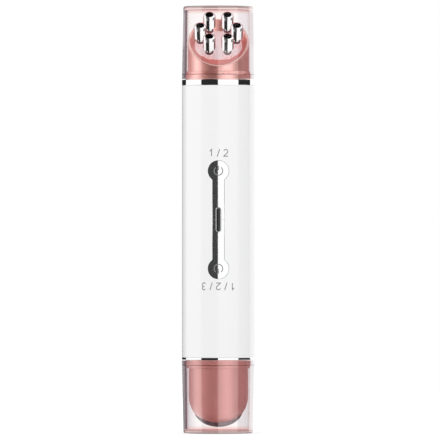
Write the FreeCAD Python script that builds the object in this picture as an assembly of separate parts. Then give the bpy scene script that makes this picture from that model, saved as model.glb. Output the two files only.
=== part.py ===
"""Heated eye massager wand with two capped heads, modelled in millimetres.

The wand stands upright on the flat end of its lower cap: +Z is up, -Y is the front, where the two
keys are, and the origin is the centre of the lower cap's flat end.  The upper head's slanted face
opens to the front and holds six electrodes on a lit lens.  The lower head's slanted face opens to
the back and holds the heated plate.
"""
import FreeCAD, Part
import math
import os

V = FreeCAD.Vector

# ---- Body tube and trim rings ----
body_radius = 14.0
tube_wall = 1.3
tube_length = 104.4
tube_edge_break = 0.15
upper_ring_height = 2.2
lower_ring_height = 0.9
ring_edge_break = 0.12

# ---- Clear caps ----
cap_length = 28.0
cap_mouth_gap = 0.25
cap_end_wall = 1.3
cap_draft = 0.55
cap_bore_draft = 0.15
cap_corner_radius = 0.7
cap_inner_corner_radius = 0.4
cap_fit = 0.08
cap_counterbore_depth = 1.8
cap_seat_gap = 0.03

# ---- What both head shells share ----
plug_clearance = 0.1
plug_depth = 6.0
collar_step = 0.4
collar_step_height = 1.2
collar_edge_break = 0.2
shell_wall = 1.3
face_angle = 45.0
rim_radius = 0.35

# ---- Upper head: lens, electrodes and lights ----
upper_head_inset = 0.5
upper_tip_clearance = 1.15
upper_cut_rise = 2.6
dish_land = 0.6
dish_depth = 3.9
dish_side_width = 2.35
dish_end_width = 3.85
lens_rise = 0.45
lens_offset = 0.5
lens_thickness = 1.0
lens_ledge = 0.7
lens_fit = 0.05
deck_gap = 0.8
electrode_count = 6
electrode_margin = 0.8
electrode_radius = 2.35
electrode_length = 6.2
electrode_top_radius = 1.3
electrode_foot_radius = 0.8
neck_radius = 1.1
neck_length = 4.35
stem_radius = 0.8
stem_clearance = 0.1
stem_end = 0.3
nut_flats = 2.8
nut_height = 0.9
nut_fit = 0.05
led_board_thickness = 0.6
led_board_clearance = 0.35
led_size = 1.6
led_height = 0.6

# ---- Lower head: heated plate and vibration motor ----
lower_head_inset = 0.8
lower_tip_clearance = 1.75
lower_cut_rise = 5.4
plate_rim_width = 0.94
plate_cap_clearance = 0.2
plate_dome = 0.4
plate_edge_radius = 1.3
plate_wall = 0.8
plate_recess = 1.0
plate_fit = 0.1
seal_thickness = 0.4
seal_width = 1.3
lower_deck_depth = 2.6
heater_margin = 2.2
heater_thickness = 0.3
thermistor_size = 2.0
thermistor_height = 0.9
motor_radius = 3.0
motor_length = 12.0
motor_offset = 3.0
motor_fit = 0.05
motor_sleeve_wall = 1.1
motor_sleeve_length = 9.0
holder_thickness = 2.0
holder_fit = 0.1
shaft_radius = 0.5
shaft_fit = 0.06
shaft_depth = 4.0
weight_radius = 2.6
weight_length = 4.0
weight_gap = 0.5

# ---- Keys, indicator window and the frame that carries them ----
key_end_radius = 3.95
key_spacing = 37.4
key_bar_width = 4.4
key_neck_radius = 0.8
key_thickness = 1.2
key_recess = 0.04
key_gap = 0.13
key_seam = 0.08
key_hinge_depth = 2.6
key_hinge_offset = 1.4
key_hinge_radius = 0.5
key_hinge_fit = 0.06
key_lug_width = 0.9
key_lug_half_height = 0.75
key_post_radius = 1.2
window_width = 2.0
window_length = 9.5
window_gap = 0.1
window_recess = 0.1
window_led_gap = 0.3
frame_ear_width = 1.2
frame_ear_gap = 0.12
frame_ear_margin = 1.2
frame_block_depth = 2.5
frame_end_margin = 1.6

# ---- Switches and main board ----
board_depth = 6.0
board_thickness = 1.0
board_side_gap = 0.15
board_length = 70.0
switch_size = 4.6
switch_height = 1.5
switch_bore_depth = 1.2
plunger_radius = 1.0
plunger_clearance = 0.15
plunger_height = 0.5
plunger_insert = 0.7
indicator_led_height = 0.6
chip_size = 7.0
chip_height = 1.0
coil_radius = 3.0
coil_height = 2.4
screw_head_radius = 1.4
screw_head_height = 0.9
screw_radius = 0.7
screw_length = 5.0
screw_fit = 0.05

# ---- Sled, battery and charging inlet ----
sled_wall = 1.2
sled_clearance = 0.15
sled_end_gap = 0.1
rib_thickness = 3.0
battery_radius = 5.0
battery_length = 44.0
battery_gap = 4.5
battery_fit = 0.1
battery_pad_thickness = 1.5
usb_width = 9.0
usb_height = 3.3
usb_length = 7.4
usb_shell = 0.35
usb_tongue_height = 0.7
usb_tongue_width = 6.7
usb_recess = 0.8
usb_gap = 0.3
usb_above_tube_end = 17.0
usb_board_thickness = 0.85
usb_board_width = 14.0
usb_board_length = 10.5
shelf_thickness = 1.5
lead_width = 5.0
lead_thickness = 0.3
lead_bend_radius = 3.0
lead_rib_gap = 2.5
lead_run = 9.0
lead_inset = 2.0

# ---- Sizes that follow from the ones above ----
tube_bore = body_radius - tube_wall
collar_radius = tube_bore - plug_clearance
collar_step_radius = collar_radius - collar_step
collar_height = cap_mouth_gap + cap_counterbore_depth - cap_seat_gap
upper_head_radius = collar_step_radius - upper_head_inset
lower_head_radius = collar_step_radius - lower_head_inset
cap_inner_end = cap_mouth_gap + cap_length - cap_end_wall
upper_sphere_height = cap_inner_end - upper_tip_clearance - upper_head_radius
lower_sphere_height = cap_inner_end - lower_tip_clearance - lower_head_radius

lower_seat_z = cap_length + cap_mouth_gap
tube_bottom_z = lower_seat_z + lower_ring_height
tube_top_z = tube_bottom_z + tube_length
upper_seat_z = tube_top_z + upper_ring_height
upper_mouth_z = upper_seat_z + cap_mouth_gap
total_height = upper_mouth_z + cap_length
panel_z = total_height / 2
upper_key_z = panel_z + key_spacing / 2
lower_key_z = panel_z - key_spacing / 2

board_front_y = -(body_radius - board_depth)
board_back_y = board_front_y + board_thickness
board_half_width = math.sqrt(tube_bore ** 2 - board_front_y ** 2) - board_side_gap
board_bottom_z = panel_z - board_length / 2
board_top_z = panel_z + board_length / 2
switch_top_y = board_front_y - switch_height
plunger_top_y = switch_top_y - plunger_height
key_outer_radius = body_radius - key_recess
key_inner_radius = key_outer_radius - key_thickness
key_hinge_y = -(body_radius - key_hinge_depth)
frame_block_y = board_front_y - frame_block_depth
led_top_y = board_front_y - indicator_led_height

sled_radius = tube_bore - sled_clearance
sled_bore = sled_radius - sled_wall
sled_bottom_z = tube_bottom_z + plug_depth + sled_end_gap
sled_top_z = tube_top_z - plug_depth - sled_end_gap
battery_y = board_back_y + battery_gap + battery_radius
battery_bottom_z = panel_z - battery_length / 2
battery_top_z = battery_bottom_z + battery_length
lower_rib_z = battery_bottom_z - rib_thickness
upper_rib_z = battery_top_z + battery_pad_thickness
usb_z = tube_bottom_z + usb_above_tube_end
usb_face_y = body_radius - usb_recess
usb_board_top_z = usb_z - usb_height / 2
usb_board_bottom_z = usb_board_top_z - usb_board_thickness

far = 3 * body_radius
cut_over = 1.0


def box(x_low, x_high, y_low, y_high, z_low, z_high):
    """A block between two corners."""
    return Part.makeBox(x_high - x_low, y_high - y_low, z_high - z_low, V(x_low, y_low, z_low))


def disc(radius, z_low, z_high, x=0.0, y=0.0):
    """A round bar along Z."""
    return Part.makeCylinder(radius, z_high - z_low, V(x, y, z_low))


def pipe(outer, inner, z_low, z_high):
    """A round pipe along Z."""
    return disc(outer, z_low, z_high).cut(disc(inner, z_low - cut_over, z_high + cut_over))


def bar_y(radius, y_low, y_high, x, z):
    """A round bar along Y."""
    return Part.makeCylinder(radius, y_high - y_low, V(x, y_low, z), V(0, 1, 0))


def bar_x(radius, x_low, x_high, y, z):
    """A round bar along X."""
    return Part.makeCylinder(radius, x_high - x_low, V(x_low, y, z), V(1, 0, 0))


def turned(profile):
    """A solid turned about Z from a closed outline of (radius, z) points."""
    points = [V(r, 0, z) for r, z in profile]
    face = Part.Face(Part.makePolygon(points + points[:1]))
    return face.revolve(V(0, 0, 0), V(0, 0, 1), 360)


def ellipse_arc(half_x, half_y, centre_y, start, end):
    """Part of an ellipse in the XY plane, between two angles from +X."""
    centre = V(0, centre_y, 0)
    along_x = V(half_x, centre_y, 0)
    along_y = V(0, centre_y + half_y, 0)
    if half_x >= half_y:
        return Part.ArcOfEllipse(Part.Ellipse(along_x, along_y, centre), start, end).toShape()
    turn = math.pi / 2
    back_x = V(-half_x, centre_y, 0)
    return Part.ArcOfEllipse(Part.Ellipse(along_y, back_x, centre), start - turn, end - turn).toShape()


def oval(half_x, half_y, z_low, z_high):
    """A straight-sided oval block along Z."""
    upper = ellipse_arc(half_x, half_y, 0, 0, math.pi)
    lower = ellipse_arc(half_x, half_y, 0, math.pi, 2 * math.pi)
    block = Part.Face(Part.Wire([upper, lower])).extrude(V(0, 0, z_high - z_low))
    block.translate(V(0, 0, z_low))
    return block


def flat_edges(solid, height):
    """The edges of a solid that lie in the plane at this height."""
    return [edge for edge in solid.Edges if all(abs(v.Z - height) < 1e-6 for v in edge.Vertexes)
            and abs(edge.CenterOfMass.z - height) < 1e-6]


def outer_rims(solid, radius, *heights):
    """The round edges of this radius about Z, at these heights."""
    return [edge for z in heights for edge in flat_edges(solid, z)
            if isinstance(edge.Curve, Part.Circle) and abs(edge.Curve.Radius - radius) < 1e-6]


def one_solid(shape):
    """The shape without leftover seams."""
    return shape.removeSplitter()


class Head:
    """Where a head's dome, slanted face and seat lie.

    A head is drawn standing on its seat, with its slanted face towards -Y.  The face frame has its
    origin where the dome's axis of the cut meets the cut, Z out of the face and Y up the slope.
    """

    def __init__(self, radius, sphere_height, cut_rise, seat_z, flipped):
        tilt = math.radians(face_angle)
        self.radius = radius
        self.sphere_height = sphere_height
        self.cut_rise = cut_rise
        self.drop = cut_rise * math.cos(tilt)
        normal = V(0, -math.sin(tilt), math.cos(tilt))
        centre = V(0, 0, sphere_height) + normal * self.drop
        self.face = FreeCAD.Placement(centre, FreeCAD.Rotation(V(1, 0, 0), face_angle))
        turn = FreeCAD.Rotation(V(1, 0, 0), 180 if flipped else 0)
        self.seat = FreeCAD.Placement(V(0, 0, seat_z), turn)

    def face_radius(self):
        """The radius of the ball's circle in the slanted face."""
        return math.sqrt(self.radius ** 2 - self.drop ** 2)

    def stand_within(self, reach, radius, edge_radius):
        """How far a round-edged disc on the face can stand out and stay this near to Z."""
        tilt = math.radians(face_angle)
        used = self.drop * math.sin(tilt) + (radius - edge_radius) * math.cos(tilt) + edge_radius
        return edge_radius + (reach - used) / math.sin(tilt)

    def on_face(self, shape):
        """Move a shape from the face frame to the head's own frame."""
        moved = shape.copy()
        moved.Placement = self.face.multiply(moved.Placement)
        return moved

    def placed(self, shape):
        """Move a shape from the head's own frame to the wand."""
        moved = shape.copy()
        moved.Placement = self.seat.multiply(moved.Placement)
        return moved

    def above_face(self, height):
        """Everything that lies further out of the face than this height."""
        return self.on_face(box(-far, far, -far, far, height, far))

    def dome(self, radius, bottom_z, face_height):
        """A round-ended bar, cut parallel to the slanted face."""
        bar = disc(radius, bottom_z, self.sphere_height)
        ball = Part.makeSphere(radius, V(0, 0, self.sphere_height))
        return one_solid(bar.fuse(ball)).cut(self.above_face(face_height))

    def room_radius(self, wall_radius, height):
        """The radius of a domed room of wall_radius, at this height in the face frame."""
        return math.sqrt(wall_radius ** 2 - (height + self.drop) ** 2)


upper_head = Head(upper_head_radius, upper_sphere_height, upper_cut_rise, upper_seat_z, False)
lower_head = Head(lower_head_radius, lower_sphere_height, lower_cut_rise, lower_seat_z, True)
upper_room_radius = upper_head_radius - shell_wall
lower_room_radius = lower_head_radius - shell_wall

lens_half_width = upper_head.face_radius() - dish_side_width
lens_half_height = upper_head.face_radius() - dish_end_width
lens_top = lens_rise - dish_depth
lens_bottom = lens_top - lens_thickness
deck_depth = deck_gap - lens_bottom
electrode_circle = lens_half_height - electrode_margin
light_circle = electrode_circle / 2
plate_radius = lower_head.face_radius() - plate_rim_width
plate_reach = collar_step_radius + cap_fit - cap_bore_draft - plate_cap_clearance
plate_stand = lower_head.stand_within(plate_reach, plate_radius, plate_edge_radius)
heater_radius = plate_radius - heater_margin


# ---- Head shells ----

def head_blank(head, ring_height, room_radius, deck):
    """A head shell before its slanted face is worked: plug, stepped collar, dome and room."""
    plug_z = -(ring_height + plug_depth)
    step_z = collar_height + collar_step_height
    rounded = head.dome(head.radius, step_z - cut_over, 0)
    rim = [edge for edge in rounded.Edges if on_rim(head, edge)]
    rounded = rounded.makeFillet(rim_radius, rim)
    blank = disc(collar_radius, plug_z, collar_height)
    blank = one_solid(blank.fuse([disc(collar_step_radius, plug_z, step_z), rounded]))
    edges = outer_rims(blank, collar_radius, collar_height)
    edges += outer_rims(blank, collar_step_radius, step_z)
    blank = blank.makeChamfer(collar_edge_break, edges)
    return blank.cut(head.dome(room_radius, plug_z - cut_over, -deck))


def on_rim(head, edge):
    """Whether an edge lies in the head's slanted face."""
    inverse = head.face.inverse()
    middle = edge.valueAt((edge.FirstParameter + edge.LastParameter) / 2)
    ends = [vertex.Point for vertex in edge.Vertexes]
    return all(abs(inverse.multVec(point).z) < 1e-5 for point in ends + [middle])


def dish_outline(head, radius):
    """The slanted cut's outline through a domed bar: an arc of the ball and one of the bar."""
    tilt = math.radians(face_angle)
    ball_radius = math.sqrt(radius ** 2 - head.drop ** 2)
    join_y = -head.drop / math.tan(tilt)
    join_x = math.sqrt(ball_radius ** 2 - join_y ** 2)
    start = math.atan2(join_y, join_x)
    upper = ellipse_arc(ball_radius, ball_radius, 0, start, math.pi - start)
    centre_y = head.cut_rise * math.sin(tilt)
    half_length = radius / math.cos(tilt)
    low_angle = math.asin((join_y - centre_y) / half_length)
    lower = ellipse_arc(radius, half_length, centre_y, math.pi - low_angle, 2 * math.pi + low_angle)
    return Part.Wire([upper, lower]), start


def dish_cutter(head):
    """The sloped dish: from the rim's outline down to the oval lens."""
    outline, start = dish_outline(head, head.radius - dish_land)
    half_width = lens_half_width + lens_fit
    half_height = lens_half_height + lens_fit
    upper = ellipse_arc(half_width, half_height, 0, start, math.pi - start)
    lower = ellipse_arc(half_width, half_height, 0, math.pi - start, 2 * math.pi + start)
    floor = Part.Wire([upper, lower])
    floor.translate(V(0, lens_offset, -dish_depth))
    slope = Part.makeLoft([floor, outline], True, True)
    mouth = Part.Face(outline).extrude(V(0, 0, cut_over))
    return slope.fuse(mouth)


def upper_head_shell():
    shell = head_blank(upper_head, upper_ring_height, upper_room_radius, deck_depth)
    seat = lens_oval(lens_fit, lens_bottom, -dish_depth)
    well = lens_oval(-lens_ledge, -deck_depth - cut_over, -dish_depth)
    for cutter in [dish_cutter(upper_head), seat, well] + stem_bars(-deck_depth - cut_over, lens_bottom):
        shell = shell.cut(upper_head.on_face(cutter))
    return upper_head.placed(shell)


def lower_head_shell():
    shell = head_blank(lower_head, lower_ring_height, lower_room_radius, lower_deck_depth)
    recess = disc(plate_radius + plate_fit, -plate_recess - seal_thickness, cut_over)
    opening = disc(plate_radius - seal_width, -lower_deck_depth - cut_over, 0)
    for cutter in (recess, opening):
        shell = shell.cut(lower_head.on_face(cutter))
    return lower_head.placed(shell)


# ---- Upper head pieces ----

def on_upper_face(shape):
    return upper_head.placed(upper_head.on_face(shape))


def lens_oval(grow, z_low, z_high):
    """The lens's outline, grown by this much, as a block in the face frame."""
    block = oval(lens_half_width + grow, lens_half_height + grow, z_low, z_high)
    block.translate(V(0, lens_offset, 0))
    return block


def places_round(circle, turn):
    """Points on a circle about the lens's centre, one for each electrode, in the face frame."""
    step = 2 * math.pi / electrode_count
    return [(circle * math.cos(i * step + turn), lens_offset + circle * math.sin(i * step + turn))
            for i in range(electrode_count)]


def stem_bars(z_low, z_high):
    """The holes for the six stems, as bars in the face frame."""
    radius = stem_radius + stem_clearance
    return [disc(radius, z_low, z_high, x, y) for x, y in places_round(electrode_circle, 0)]


def light_lens():
    lens = lens_oval(0, lens_bottom, lens_top)
    return on_upper_face(lens.cut(stem_bars(lens_bottom - cut_over, lens_top + cut_over)))


def electrode(x, y):
    """A bullet-shaped contact on a neck, with the stem that clamps it through lens and board."""
    neck_top = lens_top + neck_length
    top = neck_top + electrode_length
    stem_bottom = -(deck_depth + led_board_thickness + nut_height + stem_end)
    bullet = disc(electrode_radius, neck_top, top, x, y)
    bullet = bullet.makeFillet(electrode_top_radius, flat_edges(bullet, top))
    bullet = bullet.makeFillet(electrode_foot_radius, flat_edges(bullet, neck_top))
    neck = disc(neck_radius, lens_top, neck_top + cut_over, x, y)
    stem = disc(stem_radius, stem_bottom, lens_top + cut_over, x, y)
    return on_upper_face(one_solid(bullet.fuse([neck, stem])))


def hexagon(flats, z_low, z_high, x, y):
    corner = flats / 2 / math.cos(math.pi / 6)
    points = [V(x + corner * math.cos(i * math.pi / 3), y + corner * math.sin(i * math.pi / 3), z_low)
              for i in range(7)]
    return Part.Face(Part.makePolygon(points)).extrude(V(0, 0, z_high - z_low))


def electrode_nuts():
    top = -(deck_depth + led_board_thickness)
    nuts = []
    for x, y in places_round(electrode_circle, 0):
        bore = disc(stem_radius + nut_fit, top - nut_height - cut_over, top + cut_over, x, y)
        nuts.append(hexagon(nut_flats, top - nut_height, top, x, y).cut(bore))
    return on_upper_face(Part.makeCompound(nuts))


def led_board():
    bottom = -(deck_depth + led_board_thickness)
    radius = upper_head.room_radius(upper_room_radius, bottom) - led_board_clearance
    board = disc(radius, bottom, -deck_depth)
    return on_upper_face(board.cut(stem_bars(bottom - cut_over, lens_top)))


def light_leds():
    """One light in the middle and one between each pair of electrodes."""
    half = led_size / 2
    places = [(0, lens_offset)] + places_round(light_circle, math.pi / electrode_count)
    leds = [box(x - half, x + half, y - half, y + half, -deck_depth, -deck_depth + led_height)
            for x, y in places]
    return on_upper_face(Part.makeCompound(leds))


# ---- Lower head pieces ----

def on_lower_face(shape):
    return lower_head.placed(lower_head.on_face(shape))


def domed_disc(radius, bottom, edge_height, rise, edge_radius):
    """A disc with a slightly domed top and a rounded edge."""
    sphere_radius = (radius ** 2 + rise ** 2) / (2 * rise)
    top = edge_height + rise
    ball = Part.makeSphere(sphere_radius, V(0, 0, top - sphere_radius))
    solid = disc(radius, bottom, top + cut_over).common(ball)
    return solid.makeFillet(edge_radius, flat_edges(solid, edge_height))


def heat_plate():
    """A drawn steel cup whose domed floor is the warm face."""
    outer = domed_disc(plate_radius, -plate_recess, plate_stand, plate_dome, plate_edge_radius)
    inner = disc(plate_radius - plate_wall, -plate_recess - cut_over, plate_stand - plate_wall)
    return on_lower_face(outer.cut(inner))


def heat_plate_seal():
    top = -plate_recess
    return on_lower_face(pipe(plate_radius, plate_radius - seal_width, top - seal_thickness, top))


def heater_film():
    """A thin heater that lies against the inside of the plate's floor."""
    top = plate_stand - plate_wall
    return on_lower_face(disc(heater_radius, top - heater_thickness, top))


def thermistor():
    top = plate_stand - plate_wall - heater_thickness
    half = thermistor_size / 2
    return on_lower_face(box(-half, half, -half, half, top - thermistor_height, top))


def motor_z():
    """The top of the motor, against the holder's closed end."""
    return tube_bottom_z + plug_depth - holder_thickness


def motor_holder():
    """A disc in the lower plug, with a sleeve that grips the motor."""
    top = tube_bottom_z + plug_depth
    sleeve_bottom = motor_z() - motor_sleeve_length
    holder = disc(lower_room_radius - holder_fit, motor_z(), top)
    sleeve = disc(motor_radius + motor_fit + motor_sleeve_wall, sleeve_bottom, top, 0, -motor_offset)
    bore = disc(motor_radius + motor_fit, sleeve_bottom - cut_over, motor_z(), 0, -motor_offset)
    return one_solid(holder.fuse(sleeve)).cut(bore)


def vibration_motor():
    bottom = motor_z() - motor_length
    can = disc(motor_radius, bottom, motor_z(), 0, -motor_offset)
    bore = disc(shaft_radius + shaft_fit, bottom - cut_over, bottom + shaft_depth + cut_over,
                0, -motor_offset)
    return can.cut(bore)


def motor_shaft():
    bottom = motor_z() - motor_length - weight_gap - weight_length
    return disc(shaft_radius, bottom, motor_z() - motor_length + shaft_depth, 0, -motor_offset)


def eccentric_weight():
    """A half-round weight on the motor's shaft."""
    top = motor_z() - motor_length - weight_gap
    bottom = top - weight_length
    half = disc(weight_radius, bottom, top, 0, -motor_offset)
    half = half.cut(box(-far, far, -motor_offset + 2 * shaft_radius, far, bottom - cut_over, top + cut_over))
    return half.cut(disc(shaft_radius, bottom - cut_over, top + cut_over, 0, -motor_offset))


# ---- Keys ----

def dumbbell(grow, y_low, y_high):
    """The key panel's outline along Y: two round ends and the bar between them."""
    half = key_bar_width / 2 + grow
    bar = box(-half, half, y_low, y_high, lower_key_z, upper_key_z)
    ends = [bar_y(key_end_radius + grow, y_low, y_high, 0, z) for z in (lower_key_z, upper_key_z)]
    plan = one_solid(bar.fuse(ends))
    necks = [edge for edge in plan.Edges if abs(abs(edge.CenterOfMass.x) - half) < 1e-6
             and all(abs(abs(v.X) - half) < 1e-6 for v in edge.Vertexes)
             and abs(edge.Vertexes[0].Z - edge.Vertexes[-1].Z) < 1e-6]
    return plan.makeFillet(key_neck_radius - grow, necks)


def pill(grow, y_low, y_high):
    """The indicator window's outline along Y."""
    half = window_width / 2 + grow
    reach = (window_length - window_width) / 2
    block = box(-half, half, y_low, y_high, panel_z - reach, panel_z + reach)
    ends = [bar_y(half, y_low, y_high, 0, panel_z + side * reach) for side in (-1, 1)]
    return one_solid(block.fuse(ends))


def key_half(side):
    """One half of the key panel, with its hinge lugs, their pins and the post over the switch."""
    skin = pipe(key_outer_radius, key_inner_radius, lower_key_z - far, upper_key_z + far)
    half = dumbbell(0, -far, 0).common(skin)
    seam_z = panel_z + side * key_seam / 2
    if side > 0:
        half = half.cut(box(-far, far, -far, far, -far, seam_z))
    else:
        half = half.cut(box(-far, far, -far, far, seam_z, total_height + far))
    half = half.cut(pill(window_gap, -far, 0))
    hinge_z = panel_z + side * key_hinge_offset
    post_z = panel_z + side * key_spacing / 2
    post = bar_y(key_post_radius, -key_inner_radius - key_thickness / 2, plunger_top_y, 0, post_z)
    pieces = [post]
    lug_outer = key_bar_width / 2
    lug_inner = lug_outer - key_lug_width
    lug_front = -math.sqrt(key_inner_radius ** 2 - lug_inner ** 2) - key_thickness / 4
    for flank in (-1, 1):
        x_low, x_high = sorted((flank * lug_inner, flank * lug_outer))
        pieces.append(box(x_low, x_high, lug_front, key_hinge_y + key_lug_half_height,
                          hinge_z - key_lug_half_height, hinge_z + key_lug_half_height))
        pin_end = flank * (lug_outer + frame_ear_gap + frame_ear_width)
        pin_low, pin_high = sorted((flank * (lug_inner + key_lug_width / 2), pin_end))
        pieces.append(bar_x(key_hinge_radius, pin_low, pin_high, key_hinge_y, hinge_z))
    return one_solid(half.fuse(pieces))


def key_frame():
    """The carrier between board and keys: a block round the light pipe and two ears for the pins."""
    inner = key_bar_width / 2 + frame_ear_gap
    outer = inner + frame_ear_width
    reach = window_length / 2 + frame_end_margin
    ear_reach = key_hinge_offset + frame_ear_margin
    ear_front = -math.sqrt(tube_bore ** 2 - outer ** 2) + plug_clearance
    frame = box(-outer, outer, frame_block_y, board_front_y, panel_z - reach, panel_z + reach)
    for flank in (-1, 1):
        x_low, x_high = sorted((flank * inner, flank * outer))
        frame = frame.fuse(box(x_low, x_high, ear_front, board_front_y,
                               panel_z - ear_reach, panel_z + ear_reach))
    frame = one_solid(frame).cut(pill(window_gap / 2, -far, 0))
    for side in (-1, 1):
        frame = frame.cut(bar_x(key_hinge_radius + key_hinge_fit, -far, far, key_hinge_y,
                                panel_z + side * key_hinge_offset))
    return frame


def indicator_window():
    """A dark light pipe, its outer end curved with the body."""
    front = disc(body_radius - window_recess, 0, total_height)
    return pill(0, -far, led_top_y - window_led_gap).common(front)


# ---- Board and what it carries ----

def main_board():
    board = box(-board_half_width, board_half_width, board_front_y, board_back_y,
                board_bottom_z, board_top_z)
    for z in screw_places():
        board = board.cut(bar_y(screw_radius + screw_fit, board_front_y - cut_over,
                                board_back_y + cut_over, 0, z))
    return board


def screw_places():
    """The screws go into the sled's two end ribs."""
    return [lower_rib_z + rib_thickness / 2, upper_rib_z + rib_thickness / 2]


def board_screws():
    screws = []
    for z in screw_places():
        head = bar_y(screw_head_radius, board_front_y - screw_head_height, board_front_y, 0, z)
        shank = bar_y(screw_radius, board_front_y - screw_head_height / 2,
                      board_front_y + screw_length, 0, z)
        screws.append(one_solid(head.fuse(shank)))
    return Part.makeCompound(screws)


def switch(z):
    half = switch_size / 2
    housing = box(-half, half, switch_top_y, board_front_y, z - half, z + half)
    return housing.cut(bar_y(plunger_radius + plunger_clearance, switch_top_y - cut_over,
                             switch_top_y + switch_bore_depth, 0, z))


def switch_plunger(z):
    return bar_y(plunger_radius, plunger_top_y, switch_top_y + plunger_insert, 0, z)


def indicator_led():
    half = window_width / 2 - window_gap
    return box(-half, half, led_top_y, board_front_y, panel_z - 2 * half, panel_z + 2 * half)


def board_parts():
    """Controller chip and boost coil, on the bare stretches of the board's front."""
    half = chip_size / 2
    chip_z = (panel_z + lower_key_z) / 2
    coil_z = (panel_z + upper_key_z) / 2
    chip = box(-half, half, board_front_y - chip_height, board_front_y, chip_z - half / 2, chip_z + half / 2)
    coil = bar_y(coil_radius, board_front_y - coil_height, board_front_y, 0, coil_z + coil_radius / 2)
    return Part.makeCompound([chip, coil])


# ---- Sled, battery and charging inlet ----

def inner_sled():
    """A C-shaped carrier with ribs; the board closes its open front."""
    below = sled_bottom_z - cut_over
    sled = pipe(sled_radius, sled_bore, sled_bottom_z, sled_top_z)
    ribs = [disc(sled_radius, z, z + rib_thickness) for z in (lower_rib_z, upper_rib_z)]
    shelf = disc(sled_radius, usb_board_bottom_z - shelf_thickness, usb_board_bottom_z)
    shelf = shelf.cut(box(-far, far, -far, 0, below, sled_top_z))
    collar_low = panel_z - rib_thickness / 2
    collar = disc(sled_radius, collar_low, collar_low + rib_thickness)
    collar = collar.cut(disc(battery_radius + battery_fit, below, sled_top_z, 0, battery_y))
    sled = one_solid(sled.fuse(ribs + [shelf, collar]))
    sled = sled.cut(box(-far, far, -far, board_back_y, below, sled_top_z + cut_over))
    inlet_half = usb_width / 2 + usb_gap
    inlet = box(-inlet_half, inlet_half, 0, far, usb_board_bottom_z, usb_z + usb_height / 2 + usb_gap)
    sled = sled.cut(inlet)
    for z in screw_places():
        sled = sled.cut(bar_y(screw_radius + screw_fit, board_back_y - cut_over,
                              board_front_y + screw_length + cut_over, 0, z))
    return sled


def battery():
    return disc(battery_radius, battery_bottom_z, battery_top_z, 0, battery_y)


def battery_pad():
    """A foam disc between the cell and the upper rib."""
    return disc(battery_radius, battery_top_z, battery_top_z + battery_pad_thickness, 0, battery_y)


def slot_block(half_width, half_height, y_low, y_high):
    """A flat round-ended block along Y, at the charging inlet."""
    reach = half_width - half_height
    block = box(-reach, reach, y_low, y_high, usb_z - half_height, usb_z + half_height)
    ends = [bar_y(half_height, y_low, y_high, side * reach, usb_z) for side in (-1, 1)]
    return one_solid(block.fuse(ends))


def usb_socket():
    back = usb_face_y - usb_length
    shell = slot_block(usb_width / 2, usb_height / 2, back, usb_face_y)
    room = slot_block(usb_width / 2 - usb_shell, usb_height / 2 - usb_shell,
                      back + usb_shell, usb_face_y + cut_over)
    tongue = box(-usb_tongue_width / 2, usb_tongue_width / 2, back, usb_face_y - usb_shell,
                 usb_z - usb_tongue_height / 2, usb_z + usb_tongue_height / 2)
    return shell.cut(room).fuse(tongue)


def usb_board():
    """A small board on the sled's shelf, under the socket."""
    back = math.sqrt(sled_bore ** 2 - (usb_board_width / 2) ** 2) - plug_clearance
    half = usb_board_width / 2
    return box(-half, half, back - usb_board_length, back, usb_board_bottom_z, usb_board_top_z)


# ---- Tube, rings, caps and leads ----

def body_tube():
    tube = pipe(body_radius, tube_bore, tube_bottom_z, tube_top_z)
    tube = tube.makeChamfer(tube_edge_break, outer_rims(tube, body_radius, tube_bottom_z, tube_top_z))
    tube = tube.cut(dumbbell(key_gap, -far, 0))
    return tube.cut(slot_block(usb_width / 2 + usb_gap, usb_height / 2 + usb_gap, 0, far))


def trim_ring(bottom, height):
    ring = pipe(body_radius, tube_bore, bottom, bottom + height)
    return ring.makeChamfer(ring_edge_break, outer_rims(ring, body_radius, bottom, bottom + height))


def cap():
    """A clear cap, mouth down at z = 0, with a counterbore that seats on the head's collar."""
    end_radius = body_radius - cap_draft
    seat_radius = collar_radius + cap_fit
    bore = collar_step_radius + cap_fit
    bore_end = bore - cap_bore_draft
    bore_top = cap_length - cap_end_wall
    outer = turned([(0, 0), (body_radius, 0), (end_radius, cap_length), (0, cap_length)])
    outer = outer.makeFillet(cap_corner_radius, flat_edges(outer, cap_length))
    inner = turned([(0, cap_counterbore_depth), (bore, cap_counterbore_depth),
                    (bore_end, bore_top), (0, bore_top)])
    inner = inner.makeFillet(cap_inner_corner_radius, flat_edges(inner, bore_top))
    seat = disc(seat_radius, -cut_over, cap_counterbore_depth)
    return outer.cut(inner.fuse(seat))


def flat_lead(route):
    """A flat cable across X that follows straight runs in the YZ plane, with rounded turns."""
    points = [V(0, y, z) for y, z in route]
    edges = []
    start = points[0]
    for before, corner, after in zip(points, points[1:], points[2:]):
        inward = (before - corner).normalize()
        outward = (after - corner).normalize()
        half_turn = (math.pi - inward.getAngle(outward)) / 2
        setback = lead_bend_radius * math.tan(half_turn)
        middle = corner + (inward + outward).normalize() * (
            lead_bend_radius / math.cos(half_turn) - lead_bend_radius)
        edges.append(Part.LineSegment(start, corner + inward * setback).toShape())
        edges.append(Part.Arc(corner + inward * setback, middle, corner + outward * setback).toShape())
        start = corner + outward * setback
    edges.append(Part.LineSegment(start, points[-1]).toShape())
    first = (points[1] - points[0]).normalize()
    side = V(0, first.z, -first.y) * (lead_thickness / 2)
    half = V(lead_width / 2, 0, 0)
    base = points[0]
    corners = [base - half - side, base + half - side, base + half + side, base - half + side]
    section = Part.makePolygon(corners + corners[:1])
    return Part.Wire(edges).makePipeShell([section], True, True)


def face_point(head, up_slope, height):
    """The (y, z) of a point on a head's face frame, in the wand."""
    point = head.seat.multVec(head.face.multVec(V(0, up_slope, height)))
    return point.y, point.z


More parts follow.
